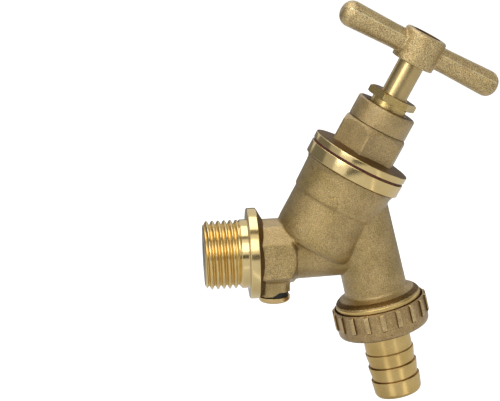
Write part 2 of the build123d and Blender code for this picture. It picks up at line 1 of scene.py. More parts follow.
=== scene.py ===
# %% [markdown]
# This lesson dresses a brass garden tap for a product picture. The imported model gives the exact
# sizes and what moves with what. Every piece made here rides on one of its bodies and stands for
# one of its nodes, so the picture and the mechanism stay one object. The frame is loaded first,
# because each later piece is placed in it.

# %% Load the frame
from math import cos, degrees, pi, radians, sin, sqrt, tan

import bpy
from mathutils import Matrix, Vector


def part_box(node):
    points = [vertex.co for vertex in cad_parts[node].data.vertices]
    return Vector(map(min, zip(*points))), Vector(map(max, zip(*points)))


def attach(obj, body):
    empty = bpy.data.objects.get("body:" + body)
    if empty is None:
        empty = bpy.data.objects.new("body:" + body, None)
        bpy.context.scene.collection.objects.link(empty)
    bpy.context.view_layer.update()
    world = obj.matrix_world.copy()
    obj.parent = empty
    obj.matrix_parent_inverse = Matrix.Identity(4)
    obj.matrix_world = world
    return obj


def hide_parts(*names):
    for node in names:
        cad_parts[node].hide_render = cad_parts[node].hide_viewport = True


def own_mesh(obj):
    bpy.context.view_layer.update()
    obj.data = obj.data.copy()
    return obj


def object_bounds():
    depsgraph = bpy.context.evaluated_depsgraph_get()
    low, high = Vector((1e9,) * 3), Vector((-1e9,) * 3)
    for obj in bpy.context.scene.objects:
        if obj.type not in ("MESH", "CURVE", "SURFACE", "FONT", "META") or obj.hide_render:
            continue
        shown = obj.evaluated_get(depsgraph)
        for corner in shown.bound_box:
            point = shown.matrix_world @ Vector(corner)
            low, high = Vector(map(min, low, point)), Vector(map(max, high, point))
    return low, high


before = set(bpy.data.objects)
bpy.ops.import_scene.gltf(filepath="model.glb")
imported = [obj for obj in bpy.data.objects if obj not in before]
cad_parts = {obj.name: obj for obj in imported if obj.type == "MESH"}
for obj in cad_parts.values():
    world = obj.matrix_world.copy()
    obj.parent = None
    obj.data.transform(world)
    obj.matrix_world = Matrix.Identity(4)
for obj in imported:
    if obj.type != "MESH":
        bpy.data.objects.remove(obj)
cad_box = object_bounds()

# %% [markdown]
# A tap is three round parts that cross: the inlet lies level, the spindle leans away from the
# wall, and the outlet leans the same way but points down. A short fourth axis points straight down
# for the drain screw. Each piece is made upright about its own axis, and then carried to its place
# by one matrix. That keeps every outline a simple list of radii and stations along the axis, in
# millimetres, as on a turner's drawing.

# %% The four axes
MM = 0.001
SPINDLE_LEAN = radians(30)
OUTLET_LEAN = radians(11)
SPINDLE_X = 18.9
OUTLET_X = 36.335
DRAIN_X = 7.7


def axis_matrix(origin_x, z_axis, x_axis):
    """The matrix that carries a piece made upright at the origin to one of the tap's axes."""
    z_axis = Vector(z_axis)
    x_axis = Vector(x_axis)
    y_axis = z_axis.cross(x_axis)
    turn = Matrix((x_axis, y_axis, z_axis)).transposed().to_4x4()
    return Matrix.Translation((origin_x * MM, 0, 0)) @ turn


inlet_axis = axis_matrix(0, (1, 0, 0), (0, 1, 0))
spindle_axis = axis_matrix(
    SPINDLE_X,
    (sin(SPINDLE_LEAN), 0, cos(SPINDLE_LEAN)),
    (cos(SPINDLE_LEAN), 0, -sin(SPINDLE_LEAN)),
)
outlet_axis = axis_matrix(
    OUTLET_X,
    (sin(OUTLET_LEAN), 0, -cos(OUTLET_LEAN)),
    (cos(OUTLET_LEAN), 0, sin(OUTLET_LEAN)),
)
drain_axis = axis_matrix(DRAIN_X, (0, 0, -1), (1, 0, 0))
print("spindle leans", round(degrees(SPINDLE_LEAN)), "degrees, outlet",
      round(degrees(OUTLET_LEAN)), "degrees")

# %% [markdown]
# Most of a tap comes off a lathe, so the first tool is a lathe. A single point is moved to the
# start of the outline, extruded from corner to corner, and spun round local Z. Corners that a tool
# would leave sharp are broken by a small curve, because a real edge always catches a line of light.

# %% Lathe helpers
TURN_STEPS = 144
CORNER_STEPS = 4
CORNER_SHARE = 0.45
OUTLINE_WELD = 0.0005
SPIN_WELD = 0.0015


def only(piece):
    """Select one piece and make it the active one."""
    bpy.ops.object.select_all(action="DESELECT")
    piece.select_set(True)
    bpy.context.view_layer.objects.active = piece


def carry(piece, axis):
    """Carry a piece from the origin to its axis, and put its place in its mesh."""
    only(piece)
    piece.matrix_world = axis @ piece.matrix_world
    bpy.ops.object.transform_apply(location=True, rotation=True, scale=True)


def broken_corners(outline, corner, closed):
    """Replace each corner of an outline by a small curve. A third value is that corner's size."""
    points = []
    count = len(outline)
    for index, entry in enumerate(outline):
        here = Vector(entry[:2])
        size = entry[2] if len(entry) > 2 else corner
        at_end = not closed and index in (0, count - 1)
        if size == 0 or at_end or here.x == 0:
            points.append(here)
            continue
        before = Vector(outline[index - 1][:2]) - here
        after = Vector(outline[(index + 1) % count][:2]) - here
        reach = min(size, CORNER_SHARE * before.length, CORNER_SHARE * after.length)
        start = here + before.normalized() * reach
        end = here + after.normalized() * reach
        for step in range(CORNER_STEPS + 1):
            share = step / CORNER_STEPS
            mid_share = 2 * share * (1 - share)
            points.append(start * (1 - share) ** 2 + here * mid_share + end * share**2)
    return points


def lathe(name, outline, axis, corner=0.12, steps=TURN_STEPS, smooth=35):
    """Turn an outline of (radius, station) points, in millimetres, about one of the axes."""
    closed = not (outline[0][0] == 0 and outline[-1][0] == 0)
    points = broken_corners(outline, corner, closed)
    if closed:
        points.append(points[0])
    bpy.ops.object.select_all(action="DESELECT")
    bpy.ops.mesh.primitive_plane_add(size=MM)
    piece = bpy.context.object
    piece.name = name
    bpy.ops.object.mode_set(mode="EDIT")
    bpy.ops.mesh.merge(type="CENTER")
    here = Vector((0, 0, 0))
    for index, point in enumerate(points):
        there = Vector((point.x, 0, point.y)) * MM
        if index == 0:
            bpy.ops.transform.translate(value=there)
        else:
            bpy.ops.mesh.extrude_region_move(TRANSFORM_OT_translate={"value": there - here})
        here = there
    bpy.ops.mesh.select_all(action="SELECT")
    bpy.ops.mesh.remove_doubles(threshold=OUTLINE_WELD * MM)
    bpy.ops.mesh.spin(steps=steps, angle=2 * pi, center=(0, 0, 0), axis=(0, 0, 1))
    bpy.ops.mesh.select_all(action="SELECT")
    bpy.ops.mesh.remove_doubles(threshold=SPIN_WELD * MM)
    bpy.ops.mesh.normals_make_consistent(inside=False)
    bpy.ops.object.mode_set(mode="OBJECT")
    carry(piece, axis)
    bpy.ops.object.shade_smooth_by_angle(angle=radians(smooth))
    return piece


def plain_ring(name, inner, outer, start, end, axis, **options):
    """A ring between two stations, or a disc where inner is 0."""
    corners = [(inner, start), (outer, start), (outer, end), (inner, end)]
    return lathe(name, corners, axis, **options)


def cutter(name, radius, start, end, axis):
    """A round bar between two stations, with sharp corners, to cut a hole or a face with."""
    return plain_ring(name, 0, radius, start, end, axis, corner=0)


print("lathe turns in", TURN_STEPS, "steps")

# %% [markdown]
# The turned solids are then cut and put together. A Boolean modifier cuts one with another, as a
# drill cuts a casting. Where two solids only have to count as one piece, they are joined with
# their surfaces as they are, which keeps both meshes clean.

# %% Cutting and joining helpers
SMOOTH_ANGLE = 35


def apply_modifiers(piece):
    """Apply every modifier of a piece, first to last."""
    only(piece)
    for modifier in list(piece.modifiers):
        bpy.ops.object.modifier_apply(modifier=modifier.name)


def combine(piece, tool, operation):
    """Join, cut or intersect a piece with a tool, and throw the tool away."""
    modifier = piece.modifiers.new("combine", "BOOLEAN")
    modifier.operation = operation
    modifier.solver = "MANIFOLD"
    modifier.object = tool
    apply_modifiers(piece)
    bpy.data.objects.remove(tool)
    return piece


def join(piece, *others):
    """Make several objects one, without touching their surfaces."""
    only(piece)
    for other in others:
        other.select_set(True)
    bpy.ops.object.join()
    return piece


def finish_smooth(piece, angle=SMOOTH_ANGLE):
    """Shade a finished piece smooth but for edges sharper than an angle in degrees."""
    only(piece)
    bpy.ops.object.shade_smooth_by_angle(angle=radians(angle))


print("edges over", SMOOTH_ANGLE, "degrees stay sharp")

# %% [markdown]
# Pipe threads are one long ridge, not a stack of rings, so the ridge's section is swept by the
# Screw modifier while it climbs by the pitch. A real thread fades out where the die leaves it. Here
# the ridge sinks into its core over its last third of a turn. Its first turn is trimmed by a coned
# envelope, as the chamfer on the end of the bar trims it, or it sinks in there too.

# %% Thread helper
PIPE_PITCH = 1.814
PIPE_DEPTH = 1.162
FLANK = radians(27.5)
FLANK_MIDDLE = 0.62
CREST = 0.44
SINK = 0.1
FADE_TURNS = 0.33
THREAD_STEPS = 96


def wind(section, turns, climb, steps):
    """Sweep a section about Z while it climbs, and close the ends of the coil."""
    screw = section.modifiers.new("climb", "SCREW")
    screw.axis = "Z"
    screw.angle = 2 * pi * turns
    screw.screw_offset = climb
    screw.steps = steps
    screw.render_steps = steps
    screw.use_merge_vertices = False
    apply_modifiers(section)
    bpy.ops.object.mode_set(mode="EDIT")
    bpy.ops.mesh.select_all(action="SELECT")
    bpy.ops.mesh.fill_holes(sides=0)
    bpy.ops.mesh.select_all(action="SELECT")
    bpy.ops.mesh.normals_make_consistent(inside=False)
    bpy.ops.object.mode_set(mode="OBJECT")


def thread_ridge(name, major, first, last, axis, envelope=None):
    """A right-hand ridge on a core, its crest at the major radius, trimmed by an envelope."""
    core = major - PIPE_DEPTH
    half_crest = CREST / 2
    half_section = [
        (core - SINK, half_crest + (PIPE_DEPTH + SINK) * tan(FLANK)),
        (major - FLANK_MIDDLE, half_crest + FLANK_MIDDLE * tan(FLANK)),
        (major - 0.2, half_crest + 0.1),
        (major - 0.05, half_crest - 0.04),
    ]
    section = [(radius, -station) for radius, station in half_section]
    section += [(major, 0)] + half_section[::-1]
    turns = (last - first) / PIPE_PITCH
    steps = round(THREAD_STEPS * turns)
    bpy.ops.object.select_all(action="DESELECT")
    bpy.ops.mesh.primitive_circle_add(vertices=len(section), radius=MM)
    ridge = bpy.context.object
    ridge.name = name
    for vertex, (radius, station) in zip(ridge.data.vertices, section):
        vertex.co = Vector((radius, 0, first + station)) * MM
    wind(ridge, turns, (last - first) * MM, steps)
    for vertex in ridge.data.vertices:
        turn_number = vertex.index // len(section) / steps * turns
        to_end = turns - turn_number
        if not envelope:
            to_end = min(turn_number, to_end)
        share = min(1, to_end / FADE_TURNS)
        share = share * share * (3 - 2 * share)
        radius = sqrt(vertex.co.x**2 + vertex.co.y**2) / MM
        wanted = core - SINK + (radius - core + SINK) * share
        vertex.co.x *= wanted / radius
        vertex.co.y *= wanted / radius
    carry(ridge, axis)
    if envelope:
        combine(ridge, lathe("envelope", envelope, axis, corner=0), "INTERSECT")
        ridge.name = name
    finish_smooth(ridge)
    return ridge


print("thread pitch", PIPE_PITCH, "mm")

# %% [markdown]
# Brass shows two finishes on one tap. Where the sand mould shaped it, it is dull and grainy, tan
# with olive and red-brown patches. Where a tool cut it, it is bright, with fine rings left by the
# tool. Each effect is a node group, built once and placed in each material with its own values.
# Nodes can be wired one line at a time, but a few short helpers keep the recipes readable.

# %% Node helpers


def add_node(tree, kind, inputs=None, **options):
    """A new shader node. Its options are set first, and then each input is linked or set."""
    node = tree.nodes.new(f"ShaderNode{kind}")
    for option, value in options.items():
        setattr(node, option, value)
    for key, value in (inputs or {}).items():
        if isinstance(value, bpy.types.NodeSocket):
            tree.links.new(value, node.inputs[key])
        else:
            node.inputs[key].default_value = value
    return node


def math_node(tree, operation, *terms):
    """The result of a Math node. Each term is another node's socket or a number."""
    node = add_node(tree, "Math", dict(enumerate(terms)), operation=operation)
    return node.outputs["Value"]


def mix_colours(tree, factor, first, second, blend="MIX"):
    """The result of two colours, mixed by a factor or multiplied."""
    inputs = {"Factor": factor, "A": first, "B": second}
    node = add_node(tree, "Mix", inputs, data_type="RGBA", blend_type=blend)
    return node.outputs["Result"]


def new_group(name, inputs, outputs):
    """An empty shader node group with named sockets, and what goes in and comes out inside it."""
    group = bpy.data.node_groups.new(name, "ShaderNodeTree")
    for socket_name, kind, default in inputs:
        socket = group.interface.new_socket(socket_name, in_out="INPUT", socket_type=kind)
        socket.default_value = default
    for socket_name, kind in outputs:
        group.interface.new_socket(socket_name, in_out="OUTPUT", socket_type=kind)
    given = group.nodes.new("NodeGroupInput")
    made = group.nodes.new("NodeGroupOutput")
    return group, given.outputs, made.inputs


def uneven_roughness(group, given, noise):
    """The given roughness, spread a little up and down by a noise."""
    off_centre = math_node(group, "SUBTRACT", noise, 0.5)
    return math_node(group, "MULTIPLY_ADD", off_centre, given["Spread"], given["Roughness"])


print("node helpers are ready")

# %% [markdown]
# The colour of brass wanders, because the skin tarnishes unevenly. One slow noise moves between
# two close colours, and a finer one adds rare stains.

# %% Patches


def make_patches():
    """Slow patches of colour: one colour, another, and a rarer stain."""
    group, given, made = new_group(
        "brass_patches",
        [
            ("Colour", "NodeSocketColor", (0.5, 0.4, 0.2, 1)),
            ("Patch Colour", "NodeSocketColor", (0.4, 0.3, 0.15, 1)),
            ("Stain Colour", "NodeSocketColor", (0.3, 0.15, 0.06, 1)),
            ("Patch Scale", "NodeSocketFloat", 150.0),
            ("Stain Amount", "NodeSocketFloat", 0.3),
        ],
        [("Colour", "NodeSocketColor")],
    )
    place = add_node(group, "TexCoord").outputs["Object"]
    slow = add_node(group, "TexNoise", {
        "Vector": place, "Scale": given["Patch Scale"], "Detail": 4, "Roughness": 0.6})
    patch = add_node(group, "MapRange", {
        "Value": slow.outputs["Fac"], "From Min": 0.38, "From Max": 0.66})
    base = mix_colours(group, patch.outputs["Result"], given["Colour"], given["Patch Colour"])
    fine = add_node(group, "TexNoise", {
        "Vector": place, "Scale": 260, "Detail": 6, "Roughness": 0.7})
    stain = add_node(group, "MapRange", {
        "Value": fine.outputs["Fac"], "From Min": 0.56, "From Max": 0.74})
    amount = math_node(group, "MULTIPLY", stain.outputs["Result"], given["Stain Amount"])
    stained = mix_colours(group, amount, base, given["Stain Colour"])
    group.links.new(stained, made["Colour"])
    return group


brass_patches = make_patches()
print("group:", brass_patches.name)

# %% [markdown]
# Moulding sand leaves a grain of small bumps and pits. A noise and a cell pattern of about the
# same size are added up for the height. The same noise moves the roughness, and darkens or
# lightens the colour, because a pit holds dirt and a bump is rubbed.

# %% Grain


def make_grain():
    """The grain that moulding sand leaves: a fine bump, and roughness that goes with it."""
    group, given, made = new_group(
        "sand_grain",
        [
            ("Grain Scale", "NodeSocketFloat", 3200.0),
            ("Depth", "NodeSocketFloat", 0.00008),
            ("Roughness", "NodeSocketFloat", 0.4),
            ("Spread", "NodeSocketFloat", 0.15),
            ("Speckle", "NodeSocketFloat", 0.2),
        ],
        [
            ("Roughness", "NodeSocketFloat"),
            ("Normal", "NodeSocketVector"),
            ("Shade", "NodeSocketFloat"),
        ],
    )
    place = add_node(group, "TexCoord").outputs["Object"]
    fine = add_node(group, "TexNoise", {
        "Vector": place, "Scale": given["Grain Scale"], "Detail": 3, "Roughness": 0.65})
    noise = fine.outputs["Fac"]
    pit_scale = math_node(group, "MULTIPLY", given["Grain Scale"], 0.8)
    pits = add_node(group, "TexVoronoi", {"Vector": place, "Scale": pit_scale})
    height = math_node(group, "ADD", noise, pits.outputs["Distance"])
    bump = add_node(group, "Bump", {
        "Strength": 1, "Distance": given["Depth"], "Height": height})
    contrast = math_node(group, "MULTIPLY", math_node(group, "SUBTRACT", noise, 0.5), 4)
    shade = math_node(group, "MULTIPLY_ADD", contrast, given["Speckle"], 1)
    group.links.new(uneven_roughness(group, given, noise), made["Roughness"])
    group.links.new(bump.outputs["Normal"], made["Normal"])
    group.links.new(shade, made["Shade"])
    return group


sand_grain = make_grain()
print("group:", sand_grain.name)

# %% [markdown]
# A turning tool leaves rings about the axis. They could be modelled, but they are thousandths of
# a millimetre deep, so they are bump only: a one-dimensional noise along the axis.

# %% Tool marks


def make_tool_marks():
    """Fine rings about an axis, left by a turning tool."""
    group, given, made = new_group(
        "tool_marks",
        [
            ("Axis", "NodeSocketVector", (0, 0, 1)),
            ("Ring Scale", "NodeSocketFloat", 9000.0),
            ("Depth", "NodeSocketFloat", 0.00001),
            ("Roughness", "NodeSocketFloat", 0.18),
            ("Spread", "NodeSocketFloat", 0.1),
        ],
        [("Roughness", "NodeSocketFloat"), ("Normal", "NodeSocketVector")],
    )
    place = add_node(group, "TexCoord").outputs["Object"]
    along = add_node(group, "VectorMath", {0: place, 1: given["Axis"]}, operation="DOT_PRODUCT")
    scaled = math_node(group, "MULTIPLY", along.outputs["Value"], given["Ring Scale"])
    rings = add_node(group, "TexNoise", {"W": scaled, "Scale": 1, "Detail": 3},
                     noise_dimensions="1D")
    smudge = add_node(group, "TexNoise", {"Vector": place, "Scale": 240, "Detail": 3})
    bump = add_node(group, "Bump", {
        "Strength": 1, "Distance": given["Depth"], "Height": rings.outputs["Fac"]})
    roughness = uneven_roughness(group, given, smudge.outputs["Fac"])
    group.links.new(roughness, made["Roughness"])
    group.links.new(bump.outputs["Normal"], made["Normal"])
    return group


tool_marks = make_tool_marks()
print("group:", tool_marks.name)

# %% [markdown]
# A finish is a material made from those groups. Cast brass takes patches and grain, turned brass
# takes patches and tool marks about its own axis, and moulded pieces take patches and a coarser,
# shallower grain. A material could be wired by hand for each piece, but then they would drift
# apart. Three functions that are called with different values keep the tap one family.

# %% Finish helpers
MICRON = 0.000001
STAIN = (128, 78, 40)
CAST_GRAIN = 4500
MOULDED_GRAIN = 2500


def rgb(colour):
    """A colour as a picture editor gives it, turned into the shader's linear values."""
    linear = [(part / 255 / 12.92 if part <= 10 else ((part / 255 + 0.055) / 1.055) ** 2.4)
              for part in colour]
    return (*linear, 1)


def new_material(name, metallic=0):
    """A material, its node tree and its Principled shader."""
    material = bpy.data.materials.new(name)
    material.use_nodes = True
    shader = material.node_tree.nodes["Principled BSDF"]
    shader.inputs["Metallic"].default_value = metallic
    return material, material.node_tree, shader


def patches_of(tree, colours, stain, amount=0.3, scale=150):
    """The colour of a finish: patches of two colours, and stains of a third."""
    node = add_node(tree, "Group", node_tree=brass_patches, inputs={
        "Colour": rgb(colours[0]),
        "Patch Colour": rgb(colours[1]),
        "Stain Colour": rgb(stain),
        "Stain Amount": amount,
        "Patch Scale": scale,
    })
    return node.outputs["Colour"]


def dress(tree, shader, colour, surface):
    """Wire a colour, and the roughness and the bump of a group's node, to a shader."""
    tree.links.new(colour, shader.inputs["Base Color"])
    tree.links.new(surface.outputs["Roughness"], shader.inputs["Roughness"])
    tree.links.new(surface.outputs["Normal"], shader.inputs["Normal"])


def cast_brass(name, colours, roughness, depth, speckle=0.9, coat=0.6):
    """Dull sand-cast or stamped brass. The coat is the thin pale sheen of its matt skin."""
    material, tree, shader = new_material(name, metallic=1)
    grain = add_node(tree, "Group", node_tree=sand_grain, inputs={
        "Grain Scale": CAST_GRAIN,
        "Depth": depth * MICRON,
        "Roughness": roughness,
        "Spread": 0.3,
        "Speckle": speckle,
    })
    colour = patches_of(tree, colours, STAIN, amount=0.4)
    speckled = mix_colours(tree, 1, colour, grain.outputs["Shade"], "MULTIPLY")
    dress(tree, shader, speckled, grain)
    shader.inputs["Coat Weight"].default_value = coat
    shader.inputs["Coat Roughness"].default_value = 0.35
    return material


def turned_brass(name, axis, colours, roughness=0.16, depth=8, stain_amount=0.12):
    """Bright brass with the rings of a turning tool about an axis."""
    material, tree, shader = new_material(name, metallic=1)
    marks = add_node(tree, "Group", node_tree=tool_marks, inputs={
        "Axis": axis.to_3x3() @ Vector((0, 0, 1)),
        "Depth": depth * MICRON,
        "Roughness": roughness,
    })
    dress(tree, shader, patches_of(tree, colours, STAIN, stain_amount, scale=90), marks)
    return material


def moulded(name, colours, roughness, depth, metallic=0):
    """A plain moulded or pressed material: rubber, fibre, plastic or drawn wire."""
    material, tree, shader = new_material(name, metallic)
    grain = add_node(tree, "Group", node_tree=sand_grain, inputs={
        "Grain Scale": MOULDED_GRAIN,
        "Depth": depth * MICRON,
        "Roughness": roughness,
    })
    dress(tree, shader, patches_of(tree, colours, colours[1]), grain)
    return material


print("three kinds of finish")

# %% [markdown]
# Each finish has two close colours, a roughness, and a depth of its bump in thousandths of a
# millimetre. The two dark ones are painted shade, for grooves, gaps, recesses and faces that turn
# away from the lamps. The pale ones are for the handle's die line and the nut's rib tops: partly
# wear that hands and tumbling have rubbed pale, and partly painted highlight.

# %% The tap's finishes
BRIGHT = ((228, 204, 148), (218, 190, 128))

body_finish = cast_brass("body_casting", ((186, 160, 108), (166, 142, 88)), 0.42, 90)
bonnet_finish = cast_brass("bonnet_stamping", ((184, 158, 108), (164, 140, 92)), 0.4, 80)
handle_finish = cast_brass("handle_stamping", ((206, 180, 128), (186, 162, 110)), 0.4, 70,
                           speckle=1.4)
nut_finish = cast_brass("nut_stamping", ((180, 152, 102), (160, 132, 86)), 0.4, 90)
# Pale brass for the handle's die line: partly wear, partly painted highlight.
wear_and_highlight_line = cast_brass("wear_and_highlight_line", ((236, 214, 164), (218, 194, 142)), 0.34, 50)
# Pale brass for the nut's rib tops: partly wear, partly painted highlight.
rib_wear_and_highlight = cast_brass("rib_top_wear_and_highlight", ((204, 178, 126), (190, 162, 110)), 0.36, 60)
face_brass = cast_brass("faced_end", ((190, 178, 148), (174, 160, 128)), 0.5, 30, speckle=0.2)
# Painted shade: darker brass for gaps, grooves, recesses and faces turned from the lamps.
painted_shade_brass = cast_brass("painted_shade_cast", ((118, 90, 48), (98, 74, 38)), 0.45, 60, coat=0)
painted_deep_shade = cast_brass("painted_deep_shade", ((104, 76, 40), (82, 58, 28)), 0.4, 40, coat=0)

inlet_bright = turned_brass("inlet_turned", inlet_axis, BRIGHT)
root_brass = turned_brass("thread_root", inlet_axis, ((234, 210, 148), (220, 192, 124)), 0.3)
spindle_bright = turned_brass("spindle_turned", spindle_axis, BRIGHT)
rod_brass = turned_brass("spindle_rod", spindle_axis, ((202, 178, 126), (190, 164, 112)), 0.27)
gland_brass = turned_brass("gland_turned", spindle_axis, ((216, 190, 126), (198, 170, 106)),
                           0.26, depth=30, stain_amount=0.4)
outlet_bright = turned_brass("outlet_turned", outlet_axis,
                             ((216, 186, 122), (200, 168, 104)), 0.26)
# Painted shade for the corners under the barbs' steps.
painted_step_shade = turned_brass("barb_step_painted_shade", outlet_axis, ((164, 128, 72), (144, 108, 56)), 0.2)
drain_bright = turned_brass("drain_turned", drain_axis, ((216, 188, 134), (204, 172, 114)), 0.24)

fibre = moulded("red_fibre", ((112, 62, 44), (84, 40, 30)), 0.7, 50)
rubber = moulded("black_rubber", ((28, 27, 26), (18, 18, 18)), 0.55, 30)
plastic = moulded("valve_plastic", ((150, 142, 124), (136, 128, 112)), 0.4, 10)
steel = moulded("spring_steel", ((190, 190, 194), (176, 176, 180)), 0.25, 10, metallic=1)
graphite = moulded("graphite_packing", ((48, 48, 50), (36, 36, 38)), 0.5, 40)
print("finishes:", len(bpy.data.materials))

# %% [markdown]
# A piece has to say which body carries it, which node it stands for, and what it is made of. One
# small function says all three, so none is forgotten. Another gives a band of a round piece another
# material: painted shade for grooves and gaps, and pale paint for edges, partly wear and partly
# painted highlight.

# %% Declare and paint helpers
FAR = 1000
ALL = (-FAR, FAR)
TOUCH = 0.02


def declare(piece, body, node, slot, *materials):
    """Say what a finished piece rides on, stands for and is made of."""
    piece.data.materials.clear()
    for material in materials:
        piece.data.materials.append(material)
    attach(piece, body)
    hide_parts(node)
    print(piece.name, len(piece.data.polygons), "faces")


def paint(piece, slot_index, axis, radii=ALL, stations=ALL):
    """Give a material slot to the faces between two radii and two stations, in millimetres."""
    inverse = axis.inverted()
    for face in piece.data.polygons:
        middle = inverse @ face.center
        radius = sqrt(middle.x**2 + middle.y**2) / MM
        if radii[0] < radius < radii[1] and stations[0] < middle.z / MM < stations[1]:
            face.material_index = slot_index


print("a face within", TOUCH, "mm of a station counts as on it")

# %% [markdown]
# The body is one sand casting: a block with a boss under it, a pipe, a globe with a band, and the
# outlet tube. Five simple solids give its shape. The block is a flat outline swept along the inlet
# and rounded off by a cone. The boss is a square with cut corners. The other three are turned.

# %% Casting: the block and the boss
BLOCK_START = 4.8
BLOCK_FACE = 3.8
BLOCK_END = 14.2
BLOCK_NOSE = 1.25
BLOCK_HALF_WIDTH = 11.0
BLOCK_HALF = [
    (0, 10.2),
    (5.5, 9.3),
    (BLOCK_HALF_WIDTH, 5.05),
    (BLOCK_HALF_WIDTH, -5.8),
    (4.7, -8.6),
    (0, -9.6),
]
PIPE_RADIUS = 8.5
BOSS_WIDTH = 9.3
BOSS_CORNER = 1.6
BOSS_ROOT = 7.5
BOSS_END = 13.0


def prism(name, corners, sweep):
    """A flat outline of points, swept along a vector, all in millimetres."""
    bpy.ops.object.select_all(action="DESELECT")
    bpy.ops.mesh.primitive_circle_add(vertices=len(corners), radius=MM, fill_type="NGON")
    piece = bpy.context.object
    piece.name = name
    for vertex, corner in zip(piece.data.vertices, corners):
        vertex.co = Vector(corner) * MM
    bpy.ops.object.mode_set(mode="EDIT")
    bpy.ops.mesh.select_all(action="SELECT")
    bpy.ops.mesh.extrude_region_move(TRANSFORM_OT_translate={"value": Vector(sweep) * MM})
    bpy.ops.mesh.select_all(action="SELECT")
    bpy.ops.mesh.normals_make_consistent(inside=False)
    bpy.ops.object.mode_set(mode="OBJECT")
    return piece


def inlet_block():
    """The block behind the flange: flat sides, an arched top, and a flattened cone at its end."""
    section = BLOCK_HALF + [(-side, height) for side, height in BLOCK_HALF[-2:0:-1]]
    start = BLOCK_FACE - 1
    corners = [(start, side, height) for side, height in section]
    block = prism("body_casting", corners, (BLOCK_END - start, 0, 0))
    reach = 1.5 * BLOCK_HALF_WIDTH
    nose = lathe(
        "nose",
        [
            (0, 0),
            (reach, 0),
            (reach, BLOCK_END + PIPE_RADIUS - reach),
            (PIPE_RADIUS, BLOCK_END),
            (0, BLOCK_END),
        ],
        Matrix.Diagonal((1, BLOCK_NOSE, 1, 1)) @ inlet_axis,
        corner=0,
    )
    return combine(block, nose, "INTERSECT")


def drain_boss():
    """The square boss under the block, with cut corners. It is made too long and faced later."""
    half = BOSS_WIDTH / 2
    inner = half - BOSS_CORNER
    corners = [(half, inner), (inner, half), (-inner, half), (-half, inner),
               (-half, -inner), (-inner, -half), (inner, -half), (half, -inner)]
    corners = [(x, y, BOSS_ROOT) for x, y in corners]
    boss = prism("drain_boss", corners, (0, 0, BOSS_END + 1 - BOSS_ROOT))
    carry(boss, drain_axis)
    return boss


casting = inlet_block()
boss = drain_boss()
print("block is", 2 * BLOCK_HALF_WIDTH, "mm wide")

# %% [markdown]
# On the real casting every inner corner has a fillet, because sharp sand corners crumble. Each
# fillet could be modelled, but here the solids are joined, remeshed into an even skin and
# smoothed, which rounds all corners at once like a mould does.

# %% Casting: the turned solids and the skin
CONE_END_RADIUS = 10.2
PIPE_START = 12.0
PIPE_END_RADIUS = 8.05
PIPE_END = 31.0
GLOBE_START = 1.6
GLOBE_RADIUS = 13.3
BAND_START = 16.6
BAND_RADIUS = 14.05
RIM_START = 27.0
RIM_END = 30.9
RIM_RADIUS = 15.4
TUBE_RADIUS = 9.43
TUBE_GROWTH = 0.0135
TUBE_START = -14.5
COLLAR_START = 13.7
LAND_START = 16.3
LAND_END = 18.0
OUTLET_MAJOR = 26.441 / 2
SPIGOT_FACE = 22.3
CAST_SKIN = 0.3
CAST_EASING = 10


def even_skin(piece, voxel, easing):
    """Remesh the joined solids of a piece into one skin, and smooth it so that corners round."""
    skin = piece.modifiers.new("skin", "REMESH")
    skin.mode = "VOXEL"
    skin.voxel_size = voxel * MM
    ease = piece.modifiers.new("ease", "SMOOTH")
    ease.factor = 0.5
    ease.iterations = easing
    apply_modifiers(piece)
    print(piece.name, "skin:", len(piece.data.polygons), "faces")


pipe = lathe(
    "pipe",
    [
        (0, PIPE_START),
        (PIPE_RADIUS, PIPE_START),
        (PIPE_RADIUS, BLOCK_END),
        (PIPE_END_RADIUS, PIPE_END),
        (0, PIPE_END),
    ],
    inlet_axis,
    corner=0,
)
globe = lathe(
    "globe",
    [
        (0, GLOBE_START),
        (GLOBE_RADIUS - 2.0, GLOBE_START),
        (GLOBE_RADIUS - 0.8, GLOBE_START + 0.7),
        (GLOBE_RADIUS - 0.2, GLOBE_START + 2.0),
        (GLOBE_RADIUS, GLOBE_START + 4.4),
        (GLOBE_RADIUS, BAND_START),
        (BAND_RADIUS - 0.3, BAND_START),
        (BAND_RADIUS, RIM_START - 2),
        (BAND_RADIUS + 0.25, RIM_START - 1),
        (BAND_RADIUS + 0.85, RIM_START + 0.1),
        (BAND_RADIUS + 0.85, RIM_START + 0.5),
        (0, RIM_START + 0.5),
    ],
    spindle_axis,
    corner=0,
)
tube = lathe(
    "tube",
    [
        (0, TUBE_START),
        (TUBE_RADIUS + TUBE_GROWTH * TUBE_START, TUBE_START),
        (TUBE_RADIUS + TUBE_GROWTH * COLLAR_START, COLLAR_START),
        (10.6, COLLAR_START + 0.55),
        (11.8, COLLAR_START + 1.1),
        (12.6, COLLAR_START + 1.7),
        (OUTLET_MAJOR - 0.1, LAND_START - 0.2),
        (OUTLET_MAJOR - 0.1, LAND_START + 0.3),
        (0, LAND_START + 0.3),
    ],
    outlet_axis,
    corner=0,
)
join(casting, pipe, globe, tube, boss)
even_skin(casting, CAST_SKIN, CAST_EASING)

# %% [markdown]
# The machinist cuts the casting where it must fit something: the face under the rim, the chamber,
# the seat, the inlet socket and the outlet. The cuts are made after the smoothing, so their edges
# stay as crisp as a tool leaves them. The seat is a short tower that stays standing in the chamber,
# so it is taken out of the cutter and not out of the brass.

# %% Casting: the waterway
CHAMBER_RADIUS = 11.0
CHAMBER_FLOOR = 12.5
SEAT_HEIGHT = 13.1
SEAT_BORE = 6.35
SEAT_WALL = 2.45
SEAT_LIP = 0.9
BONNET_SOCKET = 12.15
BONNET_SOCKET_FLOOR = 22.2
OUTLET_BORE = 7.4

